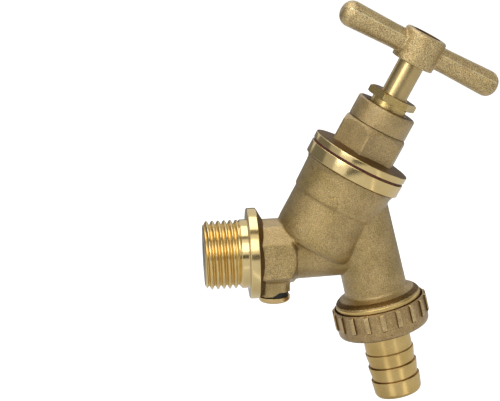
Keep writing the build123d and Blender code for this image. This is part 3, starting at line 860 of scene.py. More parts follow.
waterway = cutter("waterway", CHAMBER_RADIUS, CHAMBER_FLOOR, RIM_END, spindle_axis)
combine(waterway, cutter("outlet_cut", OUTLET_BORE, TUBE_START + 0.5, 24, outlet_axis), "UNION")
seat_tower = lathe(
    "seat_tower",
    [
        (0, GLOBE_START),
        (SEAT_BORE + SEAT_WALL, GLOBE_START),
        (SEAT_BORE + SEAT_WALL, CHAMBER_FLOOR),
        (SEAT_BORE + SEAT_LIP, CHAMBER_FLOOR),
        (SEAT_BORE + SEAT_LIP, SEAT_HEIGHT),
        (0, SEAT_HEIGHT),
    ],
    spindle_axis,
    corner=0,
)
combine(waterway, seat_tower, "DIFFERENCE")
print("the seat stands", round(SEAT_HEIGHT - CHAMBER_FLOOR, 2), "mm over the chamber's floor")

# %% [markdown]
# The other holes and faces are added to the same cutter, and it is used once. Each reaches well
# past the brass on its open side, so that no thin skin is left there. The boss was faced flat and
# then filed on one side, and the drain's washer will fit that shape, so a function makes it.

# %% Casting: the cuts
SOCKET_RADIUS = 9.05
SOCKET_END = 12.3
FLOW_BORE = 6.0
FLOW_END = 25.5
DRAIN_BORE = 3.05
FLANGE_RADIUS = 13.85
FLANGE_THICKNESS = 2.8
FILED_HALF = 6
FILED_OUTLINE = [
    (-0.8, BOSS_END),
    (1.3, 11.8),
    (8, 11.5),
    (8, BOSS_END + 2),
    (-0.8, BOSS_END + 2),
]
CAST_SMOOTH = 38


def boss_face():
    """What lies under the boss: a flat face, and a wedge that is filed off towards the pipe."""
    flat = cutter("boss_flat", 9, BOSS_END, BOSS_END + 4, drain_axis)
    corners = [(x, -FILED_HALF, station) for x, station in FILED_OUTLINE]
    wedge = prism("boss_filed", corners, (0, 2 * FILED_HALF, 0))
    carry(wedge, drain_axis)
    return combine(flat, wedge, "UNION")


cone_cut = lathe(
    "cone_cut",
    [
        (0, -3),
        (20, -3),
        (20, FLANGE_THICKNESS),
        (FLANGE_RADIUS + 0.02, FLANGE_THICKNESS),
        (CONE_END_RADIUS, BLOCK_START),
        (0, BLOCK_START),
    ],
    inlet_axis,
    corner=0,
)
for cut in (
    cutter("seat_cut", SEAT_BORE, 0, SEAT_HEIGHT + 1, spindle_axis),
    cutter("socket_cut", SOCKET_RADIUS, 0, SOCKET_END, inlet_axis),
    cutter("flow_cut", FLOW_BORE, SOCKET_END - 1, FLOW_END, inlet_axis),
    cutter("drain_cut", DRAIN_BORE, 7, 20, drain_axis),
    cutter("rim_cut", 20, RIM_START, RIM_END + 3, spindle_axis),
    cutter("bonnet_cut", BONNET_SOCKET, BONNET_SOCKET_FLOOR, RIM_END + 3, spindle_axis),
    cutter("land_cut", 16, LAND_START - 0.15, 26, outlet_axis),
    boss_face(),
    cone_cut,
):
    combine(waterway, cut, "UNION")
combine(casting, waterway, "DIFFERENCE")
finish_smooth(casting, CAST_SMOOTH)
declare(casting, "tap", "tap_body", "cast_brass", body_finish, painted_shade_brass)
# Painted shadow: a thin band of the globe under the rim, where the rim shades it, is painted dark.
paint(casting, 1, spindle_axis, (BAND_RADIUS, FAR), (RIM_START - 0.4, RIM_START))
# Painted shade: the upper face of the outlet's collar is painted dark.
paint(casting, 1, outlet_axis, (11, FAR), (COLLAR_START + 1, LAND_START - 0.5))

# %% [markdown]
# Two places of the same casting are turned bright: the rim, where the bonnet sits, and the outlet
# with its thread. They could be painted on the skin, but a remeshed skin has no crisp edges, so
# each is a lathe piece of its own that stands for the same node.

# %% Rim and outlet spigot
OUTLET_ROOT = OUTLET_MAJOR - PIPE_DEPTH

rim = lathe(
    "body_rim",
    [
        (BONNET_SOCKET, RIM_START),
        (RIM_RADIUS, RIM_START, 0.25),
        (RIM_RADIUS, RIM_END, 0.2),
        (BONNET_SOCKET, RIM_END, 0.3),
    ],
    spindle_axis,
)
declare(rim, "tap", "tap_body", "machined_brass", spindle_bright)

spigot = lathe(
    "outlet_spigot",
    [
        (OUTLET_BORE, LAND_START - 0.15),
        (OUTLET_MAJOR - 0.15, LAND_START - 0.15),
        (OUTLET_MAJOR, LAND_START + 0.1),
        (OUTLET_MAJOR, LAND_END),
        (OUTLET_ROOT, LAND_END + 0.8),
        (OUTLET_ROOT, SPIGOT_FACE - 0.5),
        (OUTLET_ROOT - 0.5, SPIGOT_FACE),
        (OUTLET_BORE, SPIGOT_FACE),
    ],
    outlet_axis,
)
spigot_thread = thread_ridge(
    "spigot_thread", OUTLET_MAJOR, LAND_END + 0.3, SPIGOT_FACE - 0.9, outlet_axis)
join(spigot, spigot_thread)
declare(spigot, "tap", "tap_body", "machined_brass", outlet_bright, painted_deep_shade)
# Painted shade: the neck between the land and the thread, in the gap under the nut, is painted
# dark.
paint(spigot, 1, outlet_axis, ALL, (LAND_END - TOUCH, LAND_END + 0.3))

# %% [markdown]
# The inlet is a separate piece off the lathe: thread, plain neck, shoulder flange, and the cone
# that runs back to the block. It is the brightest part of the tap. Its outline is turned in one
# go, inside and outside, and the thread is wound on it afterwards. The roots of the thread and the
# faces that a tool cut square have finishes of their own. The cone behind the flange and the end
# face are painted dark as painted shade, and the cone is rougher too.

# %% Inlet connector
INLET_MAJOR = 20.955 / 2
INLET_ROOT = INLET_MAJOR - PIPE_DEPTH
INLET_END = -13.4
NECK_START = -2.2
SPIGOT_RADIUS = 9.0
SPIGOT_END = 12.0
SPIGOT_BORE = 6.4
CARTRIDGE_BORE = 7.5
CARTRIDGE_END = 6.5
MOUTH_RADIUS = 8.3
MOUTH_FLOOR = -12.1

connector = lathe(
    "inlet_connector_turned",
    [
        (MOUTH_RADIUS, INLET_END),
        (INLET_ROOT - 0.35, INLET_END),
        (INLET_ROOT, INLET_END + 0.35),
        (INLET_ROOT, NECK_START - 1.1),
        (INLET_MAJOR, NECK_START),
        (INLET_MAJOR, 0, 0.3),
        (FLANGE_RADIUS, 0, 0.45),
        (FLANGE_RADIUS, FLANGE_THICKNESS, 0.2),
        (CONE_END_RADIUS, BLOCK_START),
        (SPIGOT_RADIUS, BLOCK_START),
        (SPIGOT_RADIUS, SPIGOT_END),
        (SPIGOT_BORE, SPIGOT_END),
        (SPIGOT_BORE, CARTRIDGE_END),
        (CARTRIDGE_BORE, CARTRIDGE_END),
        (CARTRIDGE_BORE, MOUTH_FLOOR),
        (MOUTH_RADIUS, MOUTH_FLOOR),
    ],
    inlet_axis,
)
inlet_thread = thread_ridge(
    "inlet_thread",
    INLET_MAJOR,
    INLET_END + 0.75 - PIPE_PITCH,
    NECK_START - 0.25,
    inlet_axis,
    envelope=[
        (0, INLET_END + 0.02),
        (INLET_ROOT - 0.05, INLET_END + 0.02),
        (INLET_MAJOR + 0.2, INLET_END + 1.0),
        (INLET_MAJOR + 0.2, 0),
        (0, 0),
    ],
)
join(connector, inlet_thread)
declare(connector, "tap", "inlet_connector", "machined_brass",
        inlet_bright, painted_shade_brass, face_brass, root_brass, painted_deep_shade)
paint(connector, 2, inlet_axis, ALL, (-TOUCH, TOUCH))
# Painted shade: the cone behind the flange, turned from the lamps, is painted dark and rougher.
paint(connector, 1, inlet_axis, (CONE_END_RADIUS, FAR), (FLANGE_THICKNESS + TOUCH, FAR))
paint(connector, 3, inlet_axis, (SPIGOT_RADIUS, INLET_MAJOR - 0.72), (-FAR, NECK_START - 0.6))
# Painted shade: the end face, seen edge-on, is painted dark.
paint(connector, 4, inlet_axis, (MOUTH_RADIUS - 0.05, FAR), (-FAR, INLET_END + 0.03))

# %% [markdown]
# The drain screw closes the boss under the block. Its washer is a plain rubber ring that shows as
# a thin black line, and its head is low and domed, with a slot for a coin or a screwdriver. The
# washer fills the filed side of the boss, so it is cut by the same shape that faced the boss.

# %% Drain screw and washer
DRAIN_SCREW = 3.0
DRAIN_FOOT = 10.6
DRAIN_HEAD_START = 13.6
DRAIN_HEAD_END = 15.6
DRAIN_HEAD_RADIUS = 4.75
DRAIN_WASHER_RADIUS = 4.3
SLOT_LENGTH = 40


def slot_cutter(width, depth, top, axis, angle=0):
    """A bar that cuts a screwdriver slot across a screw's head."""
    bpy.ops.object.select_all(action="DESELECT")
    bpy.ops.mesh.primitive_cube_add(
        size=MM,
        location=(0, 0, (top - depth / 2 + 1) * MM),
        scale=(SLOT_LENGTH, width, depth + 2),
    )
    bar = bpy.context.object
    bpy.ops.object.transform_apply(location=True, rotation=True, scale=True)
    carry(bar, axis @ Matrix.Rotation(angle, 4, "Z"))
    return bar


drain_screw = lathe(
    "drain_screw_turned",
    [
        (0, DRAIN_FOOT),
        (DRAIN_SCREW - 0.5, DRAIN_FOOT),
        (DRAIN_SCREW, DRAIN_FOOT + 0.5),
        (DRAIN_SCREW, DRAIN_HEAD_START),
        (DRAIN_HEAD_RADIUS, DRAIN_HEAD_START, 0.1),
        (DRAIN_HEAD_RADIUS, DRAIN_HEAD_END - 0.7, 0.45),
        (3.8, DRAIN_HEAD_END - 0.1, 0.7),
        (0, DRAIN_HEAD_END),
    ],
    drain_axis,
)
combine(drain_screw, slot_cutter(1.2, 0.8, DRAIN_HEAD_END, drain_axis), "DIFFERENCE")
finish_smooth(drain_screw)
declare(drain_screw, "drain", "drain_screw", "machined_brass", drain_bright)

drain_washer = plain_ring(
    "drain_washer_moulded",
    DRAIN_BORE,
    DRAIN_WASHER_RADIUS,
    BOSS_END - 1.9,
    DRAIN_HEAD_START - TOUCH,
    drain_axis,
    corner=0.15,
)
combine(drain_washer, boss_face(), "INTERSECT")
finish_smooth(drain_washer)
declare(drain_washer, "drain_seal", "drain_screw_washer", "black_rubber", rubber)

# %% [markdown]
# The bonnet is hot stamped, so its hexagon and cylinder have soft edges and a fine grain, but the
# edge of its flange is turned. The hexagon's corners are cut by a cone, which draws the curved
# lines at its top. A six-sided cylinder is softly bevelled and then intersected with that cone.

# %% Bonnet hexagon
FLANGE_START = 31.65
HEX_START = 33.6
HEX_END = 43.0
HEX_ACROSS_FLATS = 19.4
HEX_TURN = radians(-105.5)
HEX_BEVEL = 0.6
BONNET_RADIUS = 9.4


def corner_radius(across_flats):
    """The distance from a hexagon's middle to its corners."""
    return across_flats / 2 / cos(pi / 6)


def hexagon(name, across_flats, angle, start, end, bevel, axis):
    """A six-sided prism with one corner at an angle about the axis, and bevelled edges."""
    bpy.ops.object.select_all(action="DESELECT")
    bpy.ops.mesh.primitive_cylinder_add(
        vertices=6,
        radius=corner_radius(across_flats) * MM,
        depth=(end - start) * MM,
        location=(0, 0, (start + end) / 2 * MM),
    )
    six_sided = bpy.context.object
    six_sided.name = name
    first_corner = six_sided.data.vertices[0].co
    corner_angle = Vector((1, 0)).angle_signed(Vector((first_corner.x, first_corner.y)))
    bpy.ops.object.transform_apply(location=True, rotation=True, scale=True)
    soft = six_sided.modifiers.new("soft", "BEVEL")
    soft.width = bevel * MM
    soft.segments = 3
    soft.limit_method = "ANGLE"
    apply_modifiers(six_sided)
    carry(six_sided, axis @ Matrix.Rotation(angle + corner_angle, 4, "Z"))
    return six_sided


hex_corner = corner_radius(HEX_ACROSS_FLATS)
bonnet_hexagon = hexagon("bonnet_hexagon", HEX_ACROSS_FLATS, HEX_TURN, HEX_START - 1,
                         HEX_END + 1, HEX_BEVEL, spindle_axis)
crown = lathe(
    "crown",
    [
        (0, HEX_START - 0.5),
        (2 * hex_corner, HEX_START - 0.5),
        (hex_corner, HEX_END - 2),
        (BONNET_RADIUS - 0.05, HEX_END),
        (0, HEX_END),
    ],
    spindle_axis,
    corner=0,
)
combine(bonnet_hexagon, crown, "INTERSECT")
combine(bonnet_hexagon, cutter("bonnet_bore", 8.0, 20, 45, spindle_axis), "DIFFERENCE")
print("hexagon is", round(2 * hex_corner, 2), "mm over its corners")

# %% [markdown]
# The rest of the bonnet is round, so it is turned in one outline: down the outside, and back up
# through the packing box, the thread's bore and the foot. The fibre washer lies under its flange.

# %% Bonnet and its washer
BONNET_FOOT = 22.6
BONNET_SPIGOT = 12.1
BONNET_END = 49.8
PACKING_RADIUS = 5.7
PACKING_FLOOR = 42.8
GLAND_FIT = 4.1
THREAD_BORE = 6.05
THREAD_START = 28.6
THREAD_END = 41.5

bonnet = lathe(
    "bonnet_stamped",
    [
        (10.0, BONNET_FOOT),
        (BONNET_SPIGOT, BONNET_FOOT, 0.5),
        (BONNET_SPIGOT, FLANGE_START),
        (RIM_RADIUS, FLANGE_START, 0.15),
        (RIM_RADIUS, HEX_START, 0.15),
        (RIM_RADIUS - 0.5, HEX_START + 0.1, 0.3),
        (BONNET_RADIUS + 0.4, HEX_START + 1.1, 0.6),
        (BONNET_RADIUS - 0.35, HEX_START + 1.3, 0.3),
        (BONNET_RADIUS - 0.35, HEX_END + 0.25),
        (BONNET_RADIUS, HEX_END + 0.35),
        (BONNET_RADIUS, BONNET_END, 0.7),
        (PACKING_RADIUS + 0.9, BONNET_END),
        (PACKING_RADIUS, BONNET_END - 0.9),
        (PACKING_RADIUS, PACKING_FLOOR),
        (GLAND_FIT, PACKING_FLOOR),
        (GLAND_FIT, THREAD_END),
        (THREAD_BORE, THREAD_END),
        (THREAD_BORE, THREAD_START),
        (10.0, 26.4),
    ],
    spindle_axis,
    steps=192,
)
join(bonnet, bonnet_hexagon)
declare(bonnet, "tap", "bonnet", "bonnet_brass",
        bonnet_finish, spindle_bright, painted_shade_brass, painted_deep_shade)
# Painted shade: the top face under the gland nut and the groove under the hexagon's crown are
# painted dark.
paint(bonnet, 3, spindle_axis, (-FAR, BONNET_RADIUS - 1), (BONNET_END - 0.05, FAR))
paint(bonnet, 3, spindle_axis, ALL, (HEX_END, HEX_END + 0.35))
# Painted shade: the top of the flange, under the hexagon, is painted dark.
paint(bonnet, 2, spindle_axis, (HEX_ACROSS_FLATS / 2 + 0.3, FAR),
      (HEX_START - TOUCH, HEX_START + 1.3))
paint(bonnet, 1, spindle_axis, (RIM_RADIUS - 0.12, FAR))

bonnet_washer = plain_ring(
    "bonnet_washer_pressed", BONNET_SOCKET, 14.9, RIM_END, FLANGE_START, spindle_axis)
declare(bonnet_washer, "tap", "bonnet_washer", "red_fibre", fibre)

# %% [markdown]
# The gland nut presses the packing round the spindle. It is turned from hexagon bar, so both of
# its faces are chamfered to a circle, and its flats are as bright as the bar. The hexagon helper
# and a turned crown make it as they made the bonnet. Its upper face lies in the handle's shadow
# and is painted dark: painted shadow, with some tarnish.

# %% Gland nut
GLAND_NECK_START = 46.0
GLAND_HEAD_START = 51.7
GLAND_HEAD_END = 54.0
GLAND_ACROSS_FLATS = 13.8

gland_corner = corner_radius(GLAND_ACROSS_FLATS)
gland = hexagon("gland_nut_turned", GLAND_ACROSS_FLATS, 0, GLAND_HEAD_START - 0.5,
                GLAND_HEAD_END + 0.5, 0.12, spindle_axis)
gland_crown = lathe(
    "gland_crown",
    [
        (GLAND_FIT, GLAND_HEAD_START),
        (gland_corner - 0.5, GLAND_HEAD_START),
        (gland_corner, GLAND_HEAD_START + 0.3),
        (gland_corner, GLAND_HEAD_END - 0.4),
        (gland_corner - 0.7, GLAND_HEAD_END),
        (GLAND_FIT + 0.4, GLAND_HEAD_END),
        (GLAND_FIT, GLAND_HEAD_END - 0.4),
    ],
    spindle_axis,
    corner=0,
)
combine(gland, gland_crown, "INTERSECT")
finish_smooth(gland)
gland_neck = plain_ring("gland_neck", GLAND_FIT, PACKING_RADIUS - 0.05, GLAND_NECK_START,
                        GLAND_HEAD_START + 0.1, spindle_axis)
join(gland, gland_neck)
declare(gland, "tap", "gland_nut", "machined_brass", gland_brass, painted_shade_brass)
# Painted shadow and tarnish: the upper face, under the handle, is painted dark.
paint(gland, 1, spindle_axis, ALL, (GLAND_HEAD_END - TOUCH, FAR))

# %% [markdown]
# The spindle is a polished rod. Only the plain stem between the gland nut and the handle shows.
# Its thicker foot, its hole for the jumper and its hole for the screw are turned too, for a
# cutaway. The square that the handle sits on never shows, so a round stem of its width stands for
# it, and the whole spindle stays one outline.

# %% Spindle
SPINDLE_RADIUS = 4.05
SPINDLE_END = 20.5
SPINDLE_THREAD = 6.0
SPINDLE_STEP = 35.0
SQUARE_START = 66.5
SQUARE_HALF = 2.75
SPINDLE_TOP = 73.2
SCREW_HOLE = 1.95

spindle = lathe(
    "spindle_turned",
    [
        (3.05, SPINDLE_END),
        (SPINDLE_THREAD - 0.6, SPINDLE_END),
        (SPINDLE_THREAD, SPINDLE_END + 0.6),
        (SPINDLE_THREAD, SPINDLE_STEP - 0.6),
        (SPINDLE_THREAD - 0.6, SPINDLE_STEP),
        (SPINDLE_RADIUS, SPINDLE_STEP),
        (SPINDLE_RADIUS, SQUARE_START),
        (SQUARE_HALF, SQUARE_START),
        (SQUARE_HALF, SPINDLE_TOP),
        (SCREW_HOLE, SPINDLE_TOP),
        (SCREW_HOLE, 65.0),
        (0.5, 64.0),
        (0.5, 29.5),
        (3.05, 28.6),
    ],
    spindle_axis,
)
declare(spindle, "spindle_and_handle", "spindle", "machined_brass", rod_brass)

# %% [markdown]
# The handle is one stamping: a hub with a bar through it. The bar is slimmer near the hub and
# swells towards its ends. A thin fin along it makes the line where the two dies met. As on the
# body, the solids are joined, remeshed and eased, so that the bar runs into the hub with a small
# fillet. The closed handle stands a few degrees off the middle.

# %% Handle: the bar and the hub
HUB_START = 65.0
HUB_END = 74.9
HUB_RADIUS = 6.7
BAR_STATION = 69.95
BAR_REACH = 27.0
BAR_RADIUS = 3.68
BAR_WAIST = 10
BAR_END_RADIUS = 4.05
BAR_ROUND = 3.45
BAR_ROUND_STEPS = 8
HANDLE_TURN = radians(3.75)
HANDLE_SKIN = 0.22
HANDLE_EASING = 6
DIE_TURN = radians(64)
DIE_HEIGHT = 0.4
DIE_FLATNESS = 0.06

bar_place = Matrix.Translation((0, 0, BAR_STATION * MM)) @ Matrix.Rotation(HANDLE_TURN, 4, "Z")
bar_axis = spindle_axis @ bar_place @ Matrix.Rotation(pi / 2, 4, "Y")
die_axis = bar_axis @ Matrix.Rotation(DIE_TURN, 4, "Z")


def bar_outline(growth=0):
    """The bar's outline: a swelling rod with rounded ends, and with its sides moved out."""
    points = [(0, -BAR_REACH)]
    flat = BAR_END_RADIUS - BAR_ROUND
    for step in range(BAR_ROUND_STEPS + 1):
        angle = step / BAR_ROUND_STEPS * pi / 2
        radius = flat + (BAR_ROUND + growth) * sin(angle)
        points.append((radius, -BAR_REACH + BAR_ROUND * (1 - cos(angle))))
    points.append((BAR_RADIUS + growth, -BAR_WAIST))
    return points + [(radius, -station) for radius, station in reversed(points)]


handle = lathe("handle_stamped", bar_outline(), bar_axis, corner=0, steps=96)
hub = lathe(
    "hub",
    [
        (0, HUB_START),
        (HUB_RADIUS, HUB_START, 0.35),
        (HUB_RADIUS, HUB_END, 0.9),
        (0, HUB_END),
    ],
    spindle_axis,
)
flattened = Matrix.Diagonal((1, DIE_FLATNESS, 1, 1))
fin = lathe("die_line", bar_outline(DIE_HEIGHT), die_axis @ flattened, corner=0)
join(handle, hub, fin)
even_skin(handle, HANDLE_SKIN, HANDLE_EASING)

# %% [markdown]
# The hub is bored for the spindle and its square, and has a recess for the screw. The three holes
# are one cutter, used after the easing, so their edges stay crisp. The recess wall is painted dark
# as painted shade. The die line is painted pale, partly as wear from hands and partly as a painted
# highlight along the fin. It could be left as a fin alone, but the easing leaves it low, so its
# faces are painted too.

# %% Handle: the holes and the die line
DIE_LINE_HALF_WIDTH = 0.25
RECESS_RADIUS = 4.4
RECESS_FLOOR = 73.3
HOLE_FIT = 0.05

recess = cutter("recess", RECESS_RADIUS, RECESS_FLOOR, HUB_END + 2, spindle_axis)
for hole in (
    cutter("socket", SPINDLE_RADIUS + HOLE_FIT, HUB_START - 2, SQUARE_START, spindle_axis),
    cutter("square_hole", SQUARE_HALF + HOLE_FIT, SQUARE_START - 1, RECESS_FLOOR + 1, spindle_axis),
):
    combine(recess, hole, "UNION")
combine(handle, recess, "DIFFERENCE")
finish_smooth(handle, CAST_SMOOTH)
declare(handle, "spindle_and_handle", "handle", "handle_brass",
        handle_finish, painted_deep_shade, wear_and_highlight_line)
# Painted shade: the wall of the screw's recess is painted dark.
paint(handle, 1, spindle_axis, (RECESS_RADIUS - 0.1, RECESS_RADIUS + 0.05), (RECESS_FLOOR, FAR))
# Painted highlight and wear: the faces along the die line take the pale finish.
to_die_line = die_axis.inverted()
for face in handle.data.polygons:
    middle = to_die_line @ face.center / MM
    if abs(middle.y) < DIE_LINE_HALF_WIDTH and HUB_RADIUS < abs(middle.z) < BAR_REACH - 1.5:
        face.material_index = 2

# %% [markdown]
# A low cheese-head screw holds the handle. It nearly fills the recess on the hub, so that from the
# side only a thin bright edge and a dark gap show. It is turned and slotted as the drain screw is.

# %% Handle screw
SCREW_HEAD = 4.1
SCREW_SHANK = 1.9
SCREW_END = 66.0
SCREW_TOP = 74.6

handle_screw = lathe(
    "handle_screw_turned",
    [
        (0, SCREW_END),
        (SCREW_SHANK, SCREW_END),
        (SCREW_SHANK, RECESS_FLOOR),
        (SCREW_HEAD, RECESS_FLOOR),
        (SCREW_HEAD, RECESS_FLOOR + 1.2, 0.3),
        (SCREW_HEAD - 0.9, SCREW_TOP, 0.3),
        (0, SCREW_TOP),
    ],
    spindle_axis,
)
combine(handle_screw, slot_cutter(1.0, 0.7, SCREW_TOP, spindle_axis, radians(35)), "DIFFERENCE")
finish_smooth(handle_screw)
declare(handle_screw, "spindle_and_handle", "handle_screw", "machined_brass", spindle_bright)

# %% [markdown]
# The hose union is a nut and a tail. The nut is stamped, with ribs for the fingers that end in
# little ramps. One rib is modelled and copied round the nut. Its top is painted pale, partly as
# wear and partly as painted highlight, and its sides and the nut's mouth are painted dark as
# painted shade.

# %% Union nut
NUT_START = 17.5
NUT_END = 26.5
NUT_RADIUS = 14.15
NUT_BORE = OUTLET_MAJOR + 0.08
LIP_START = 25.0
LIP_BORE = 7.9
RIB_RADIUS = 14.75
RIB_COUNT = 18
RIB_WIDTH = 1.5
RIB_LENGTH = 6.2
RIB_SUNK = 0.4
RIB_RAMP = 0.7
RIB_TOP_BEVEL = 0.5
RIB_EDGE = 0.16
RIB_TURN = radians(13.7)

nut = lathe(
    "union_nut_stamped",
    [
        (NUT_BORE + 0.5, NUT_START, 0.05),
        (NUT_RADIUS, NUT_START, 0.25),
        (NUT_RADIUS, NUT_END, 1.8),
        (LIP_BORE, NUT_END),
        (LIP_BORE, LIP_START),
        (NUT_BORE, LIP_START),
        (NUT_BORE, NUT_START + 0.8, 0.05),
    ],
    outlet_axis,
)


def finger_rib():
    """One finger rib, bevelled at the nut's mouth, with a ramp two thirds of the way down."""
    depth = RIB_RADIUS - NUT_RADIUS + RIB_SUNK
    middle = NUT_START + RIB_LENGTH / 2
    bpy.ops.object.select_all(action="DESELECT")
    bpy.ops.mesh.primitive_cube_add(
        size=MM,
        location=((RIB_RADIUS - depth / 2) * MM, 0, middle * MM),
        scale=(depth, RIB_WIDTH, RIB_LENGTH),
    )
    rib = bpy.context.object
    bpy.ops.object.transform_apply(location=True, rotation=True, scale=True)
    for vertex in rib.data.vertices:
        if vertex.co.x > NUT_RADIUS * MM:
            vertex.co.z += (-RIB_RAMP if vertex.co.z > middle * MM else RIB_TOP_BEVEL) * MM
    soft = rib.modifiers.new("soft", "BEVEL")
    soft.width = RIB_EDGE * MM
    soft.segments = 2
    apply_modifiers(rib)
    finish_smooth(rib)
    return rib


rib = finger_rib()
for number in range(RIB_COUNT):
    only(rib)
    bpy.ops.object.duplicate()
    copied_rib = bpy.context.object
    turn = Matrix.Rotation(RIB_TURN + 2 * pi * number / RIB_COUNT, 4, "Z")
    carry(copied_rib, outlet_axis @ turn)
    join(nut, copied_rib)
bpy.data.objects.remove(rib)
declare(nut, "nut", "union_nut", "handle_brass", nut_finish, painted_deep_shade, rib_wear_and_highlight, painted_shade_brass)
RIB_FACE = RIB_RADIUS - 0.12
RIB_SHOULDER = NUT_START + 0.45
# Painted shade: the nut's bore and mouth are painted dark.
paint(nut, 1, outlet_axis, (-FAR, NUT_BORE + 0.45))
# Painted highlight and wear: the rib tops and their bevels at the mouth are painted pale.
paint(nut, 2, outlet_axis, (RIB_FACE, FAR))
paint(nut, 2, outlet_axis, (NUT_RADIUS + 0.1, FAR), (-FAR, RIB_SHOULDER))
# Painted shade: the sides of the ribs are painted dark.
paint(nut, 3, outlet_axis, (NUT_RADIUS + 0.03, RIB_FACE), (RIB_SHOULDER, FAR))

# %% [markdown]
# The tail is turned, with saw-tooth barbs: the hose slides up over the slopes and bites on the
# steps. All barbs are one outline, so a loop adds the same four points for each. The corner under
# each step is painted dark, as painted shade. A rubber washer lies between the tail's flange and
# the outlet.

# %% Hose tail and union washer
TAIL_FLANGE = 23.7
TAIL_FLANGE_RADIUS = 12.6
TAIL_RADIUS = 7.25
TAIL_FOOT = 7.0
TAIL_BORE = 5.2
BARB_RADIUS = 7.55
BARB_STEPS = (33.3, 37.7, 42.2)
TAIL_END = 47.6

tail_outline = [
    (TAIL_BORE, TAIL_FLANGE),
    (TAIL_FLANGE_RADIUS, TAIL_FLANGE),
    (TAIL_FLANGE_RADIUS, LIP_START),
    (TAIL_RADIUS, LIP_START),
]
for step_station in BARB_STEPS:
    foot_radius = TAIL_RADIUS if step_station == BARB_STEPS[0] else TAIL_FOOT
    tail_outline += [
        (foot_radius + 0.02, step_station - 0.35, 0),
        (foot_radius, step_station, 0.03),
        (BARB_RADIUS, step_station, 0.1),
        (BARB_RADIUS, step_station + 0.6, 0.2),
    ]
tail_outline += [
    (TAIL_RADIUS, TAIL_END - 1.0, 0.4),
    (TAIL_RADIUS - 0.6, TAIL_END, 0.3),
    (TAIL_BORE, TAIL_END, 0.2),
]
tail = lathe("hose_tail_turned", tail_outline, outlet_axis)
declare(tail, "tail", "hose_tail", "machined_brass", outlet_bright, painted_step_shade)
# Painted shade: a thin band at each barb's step is painted dark.
for step_station in BARB_STEPS:
    paint(tail, 1, outlet_axis, (TAIL_FOOT - 0.1, FAR), (step_station - 0.34, step_station + TOUCH))

union_washer = plain_ring(
    "union_washer_moulded", 7.6, 12.8, SPIGOT_FACE, TAIL_FLANGE, outlet_axis)
declare(union_washer, "union_seal", "union_washer", "black_rubber", rubber)

# %% [markdown]
# The two springs of the check valves are wire coils, wound here as the threads were. A spring is
# shorter when its valve is open, but each coil here keeps the length of its spring in the imported
# model.

# %% Check valve springs
SPRING_RADIUS = 1.75
SPRING_WIRE = 0.3
SPRING_TURNS = 4
SPRING_STEPS = 48
WIRE_SIDES = 12


def check_spring(valve):
    """A coil of wire in the place of a check valve's spring, and as long as it."""
    low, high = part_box(f"{valve}_spring")
    length = high.x - low.x
    bpy.ops.object.select_all(action="DESELECT")
    bpy.ops.mesh.primitive_circle_add(
        vertices=WIRE_SIDES,
        radius=SPRING_WIRE * MM,
        location=(SPRING_RADIUS * MM, 0, low.x + SPRING_WIRE * MM),
        rotation=(pi / 2, 0, 0),
    )
    coil = bpy.context.object
    coil.name = f"{valve}_spring_coil"
    bpy.ops.object.transform_apply(location=True, rotation=True, scale=True)
    wind(coil, SPRING_TURNS, length - 2 * SPRING_WIRE * MM, SPRING_STEPS * SPRING_TURNS)
    carry(coil, inlet_axis)
    finish_smooth(coil)
    declare(coil, "tap", f"{valve}_spring", "spring_steel", steel)
    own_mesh(coil)


check_spring("first_check")
check_spring("second_check")

# %% [markdown]
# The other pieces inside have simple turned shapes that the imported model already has. They keep
# their nodes, and only take a finish, so that a cutaway or an exploded picture looks right too.

# %% Inner pieces
inner_finishes = {
    rubber: ("inlet_seal", "first_check_seal", "first_check_o_ring", "second_check_seal",
             "second_check_o_ring", "tap_washer"),
    plastic: ("first_check_housing", "first_check_poppet", "second_check_housing",
              "second_check_poppet"),
    spindle_bright: ("gland_ring", "jumper", "washer_nut"),
    graphite: ("gland_packing",),
}
for material, node_names in inner_finishes.items():
    for node_name in node_names:
        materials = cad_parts[node_name].data.materials
        if materials:
            for slot_index in range(len(materials)):
                materials[slot_index] = material
        else:
            materials.append(material)
    print(material.name, "on", len(node_names), "inner pieces")

# %% [markdown]
# The picture was taken with a long lens from a little above the inlet. The camera is placed by its
# distance and three angles from a point in the middle of the tap. A long lens keeps parallel edges
# nearly parallel, which is why product pictures use one.

# %% Camera
CAMERA_TARGET = Vector((1.268, 0, 16.492)) * MM
CAMERA_DISTANCE = 700 * MM
CAMERA_AZIMUTH = radians(-3.831)
CAMERA_ELEVATION = radians(13.299)
CAMERA_ROLL = radians(-2.077)
SENSOR_WIDTH = 36
PHOTO_WIDTH = 500
FOCAL_PIXELS = 2309.88


def towards(azimuth, elevation):
    """The direction of an azimuth and an elevation, in radians, seen from the tap."""
    level_part = cos(elevation)
    return Vector((sin(azimuth) * level_part, -cos(azimuth) * level_part, sin(elevation)))


away = towards(CAMERA_AZIMUTH, CAMERA_ELEVATION)
level = Vector((cos(CAMERA_AZIMUTH), sin(CAMERA_AZIMUTH), 0))
upright = away.cross(level)
camera_right = level * cos(CAMERA_ROLL) + upright * sin(CAMERA_ROLL)
camera_up = away.cross(camera_right)
camera_data = bpy.data.cameras.new("product_camera")
camera_data.sensor_fit = "HORIZONTAL"
camera_data.sensor_width = SENSOR_WIDTH
camera_data.lens = FOCAL_PIXELS / PHOTO_WIDTH * SENSOR_WIDTH
camera = bpy.data.objects.new("product_camera", camera_data)
bpy.context.scene.collection.objects.link(camera)
camera_turn = Matrix((camera_right, camera_up, away)).transposed().to_4x4()
camera.matrix_world = Matrix.Translation(CAMERA_TARGET + away * CAMERA_DISTANCE) @ camera_turn
bpy.context.scene.camera = camera
print("camera lens", round(camera_data.lens, 2), "mm")

# %% [markdown]
# The tap stands before plain white. A white room would wash the metal out, so the world is dim
# where it lights the tap and white only where the camera, a reflection or glass looks at it. The
# floor glows a little for the camera alone and still takes the tap's shadow.

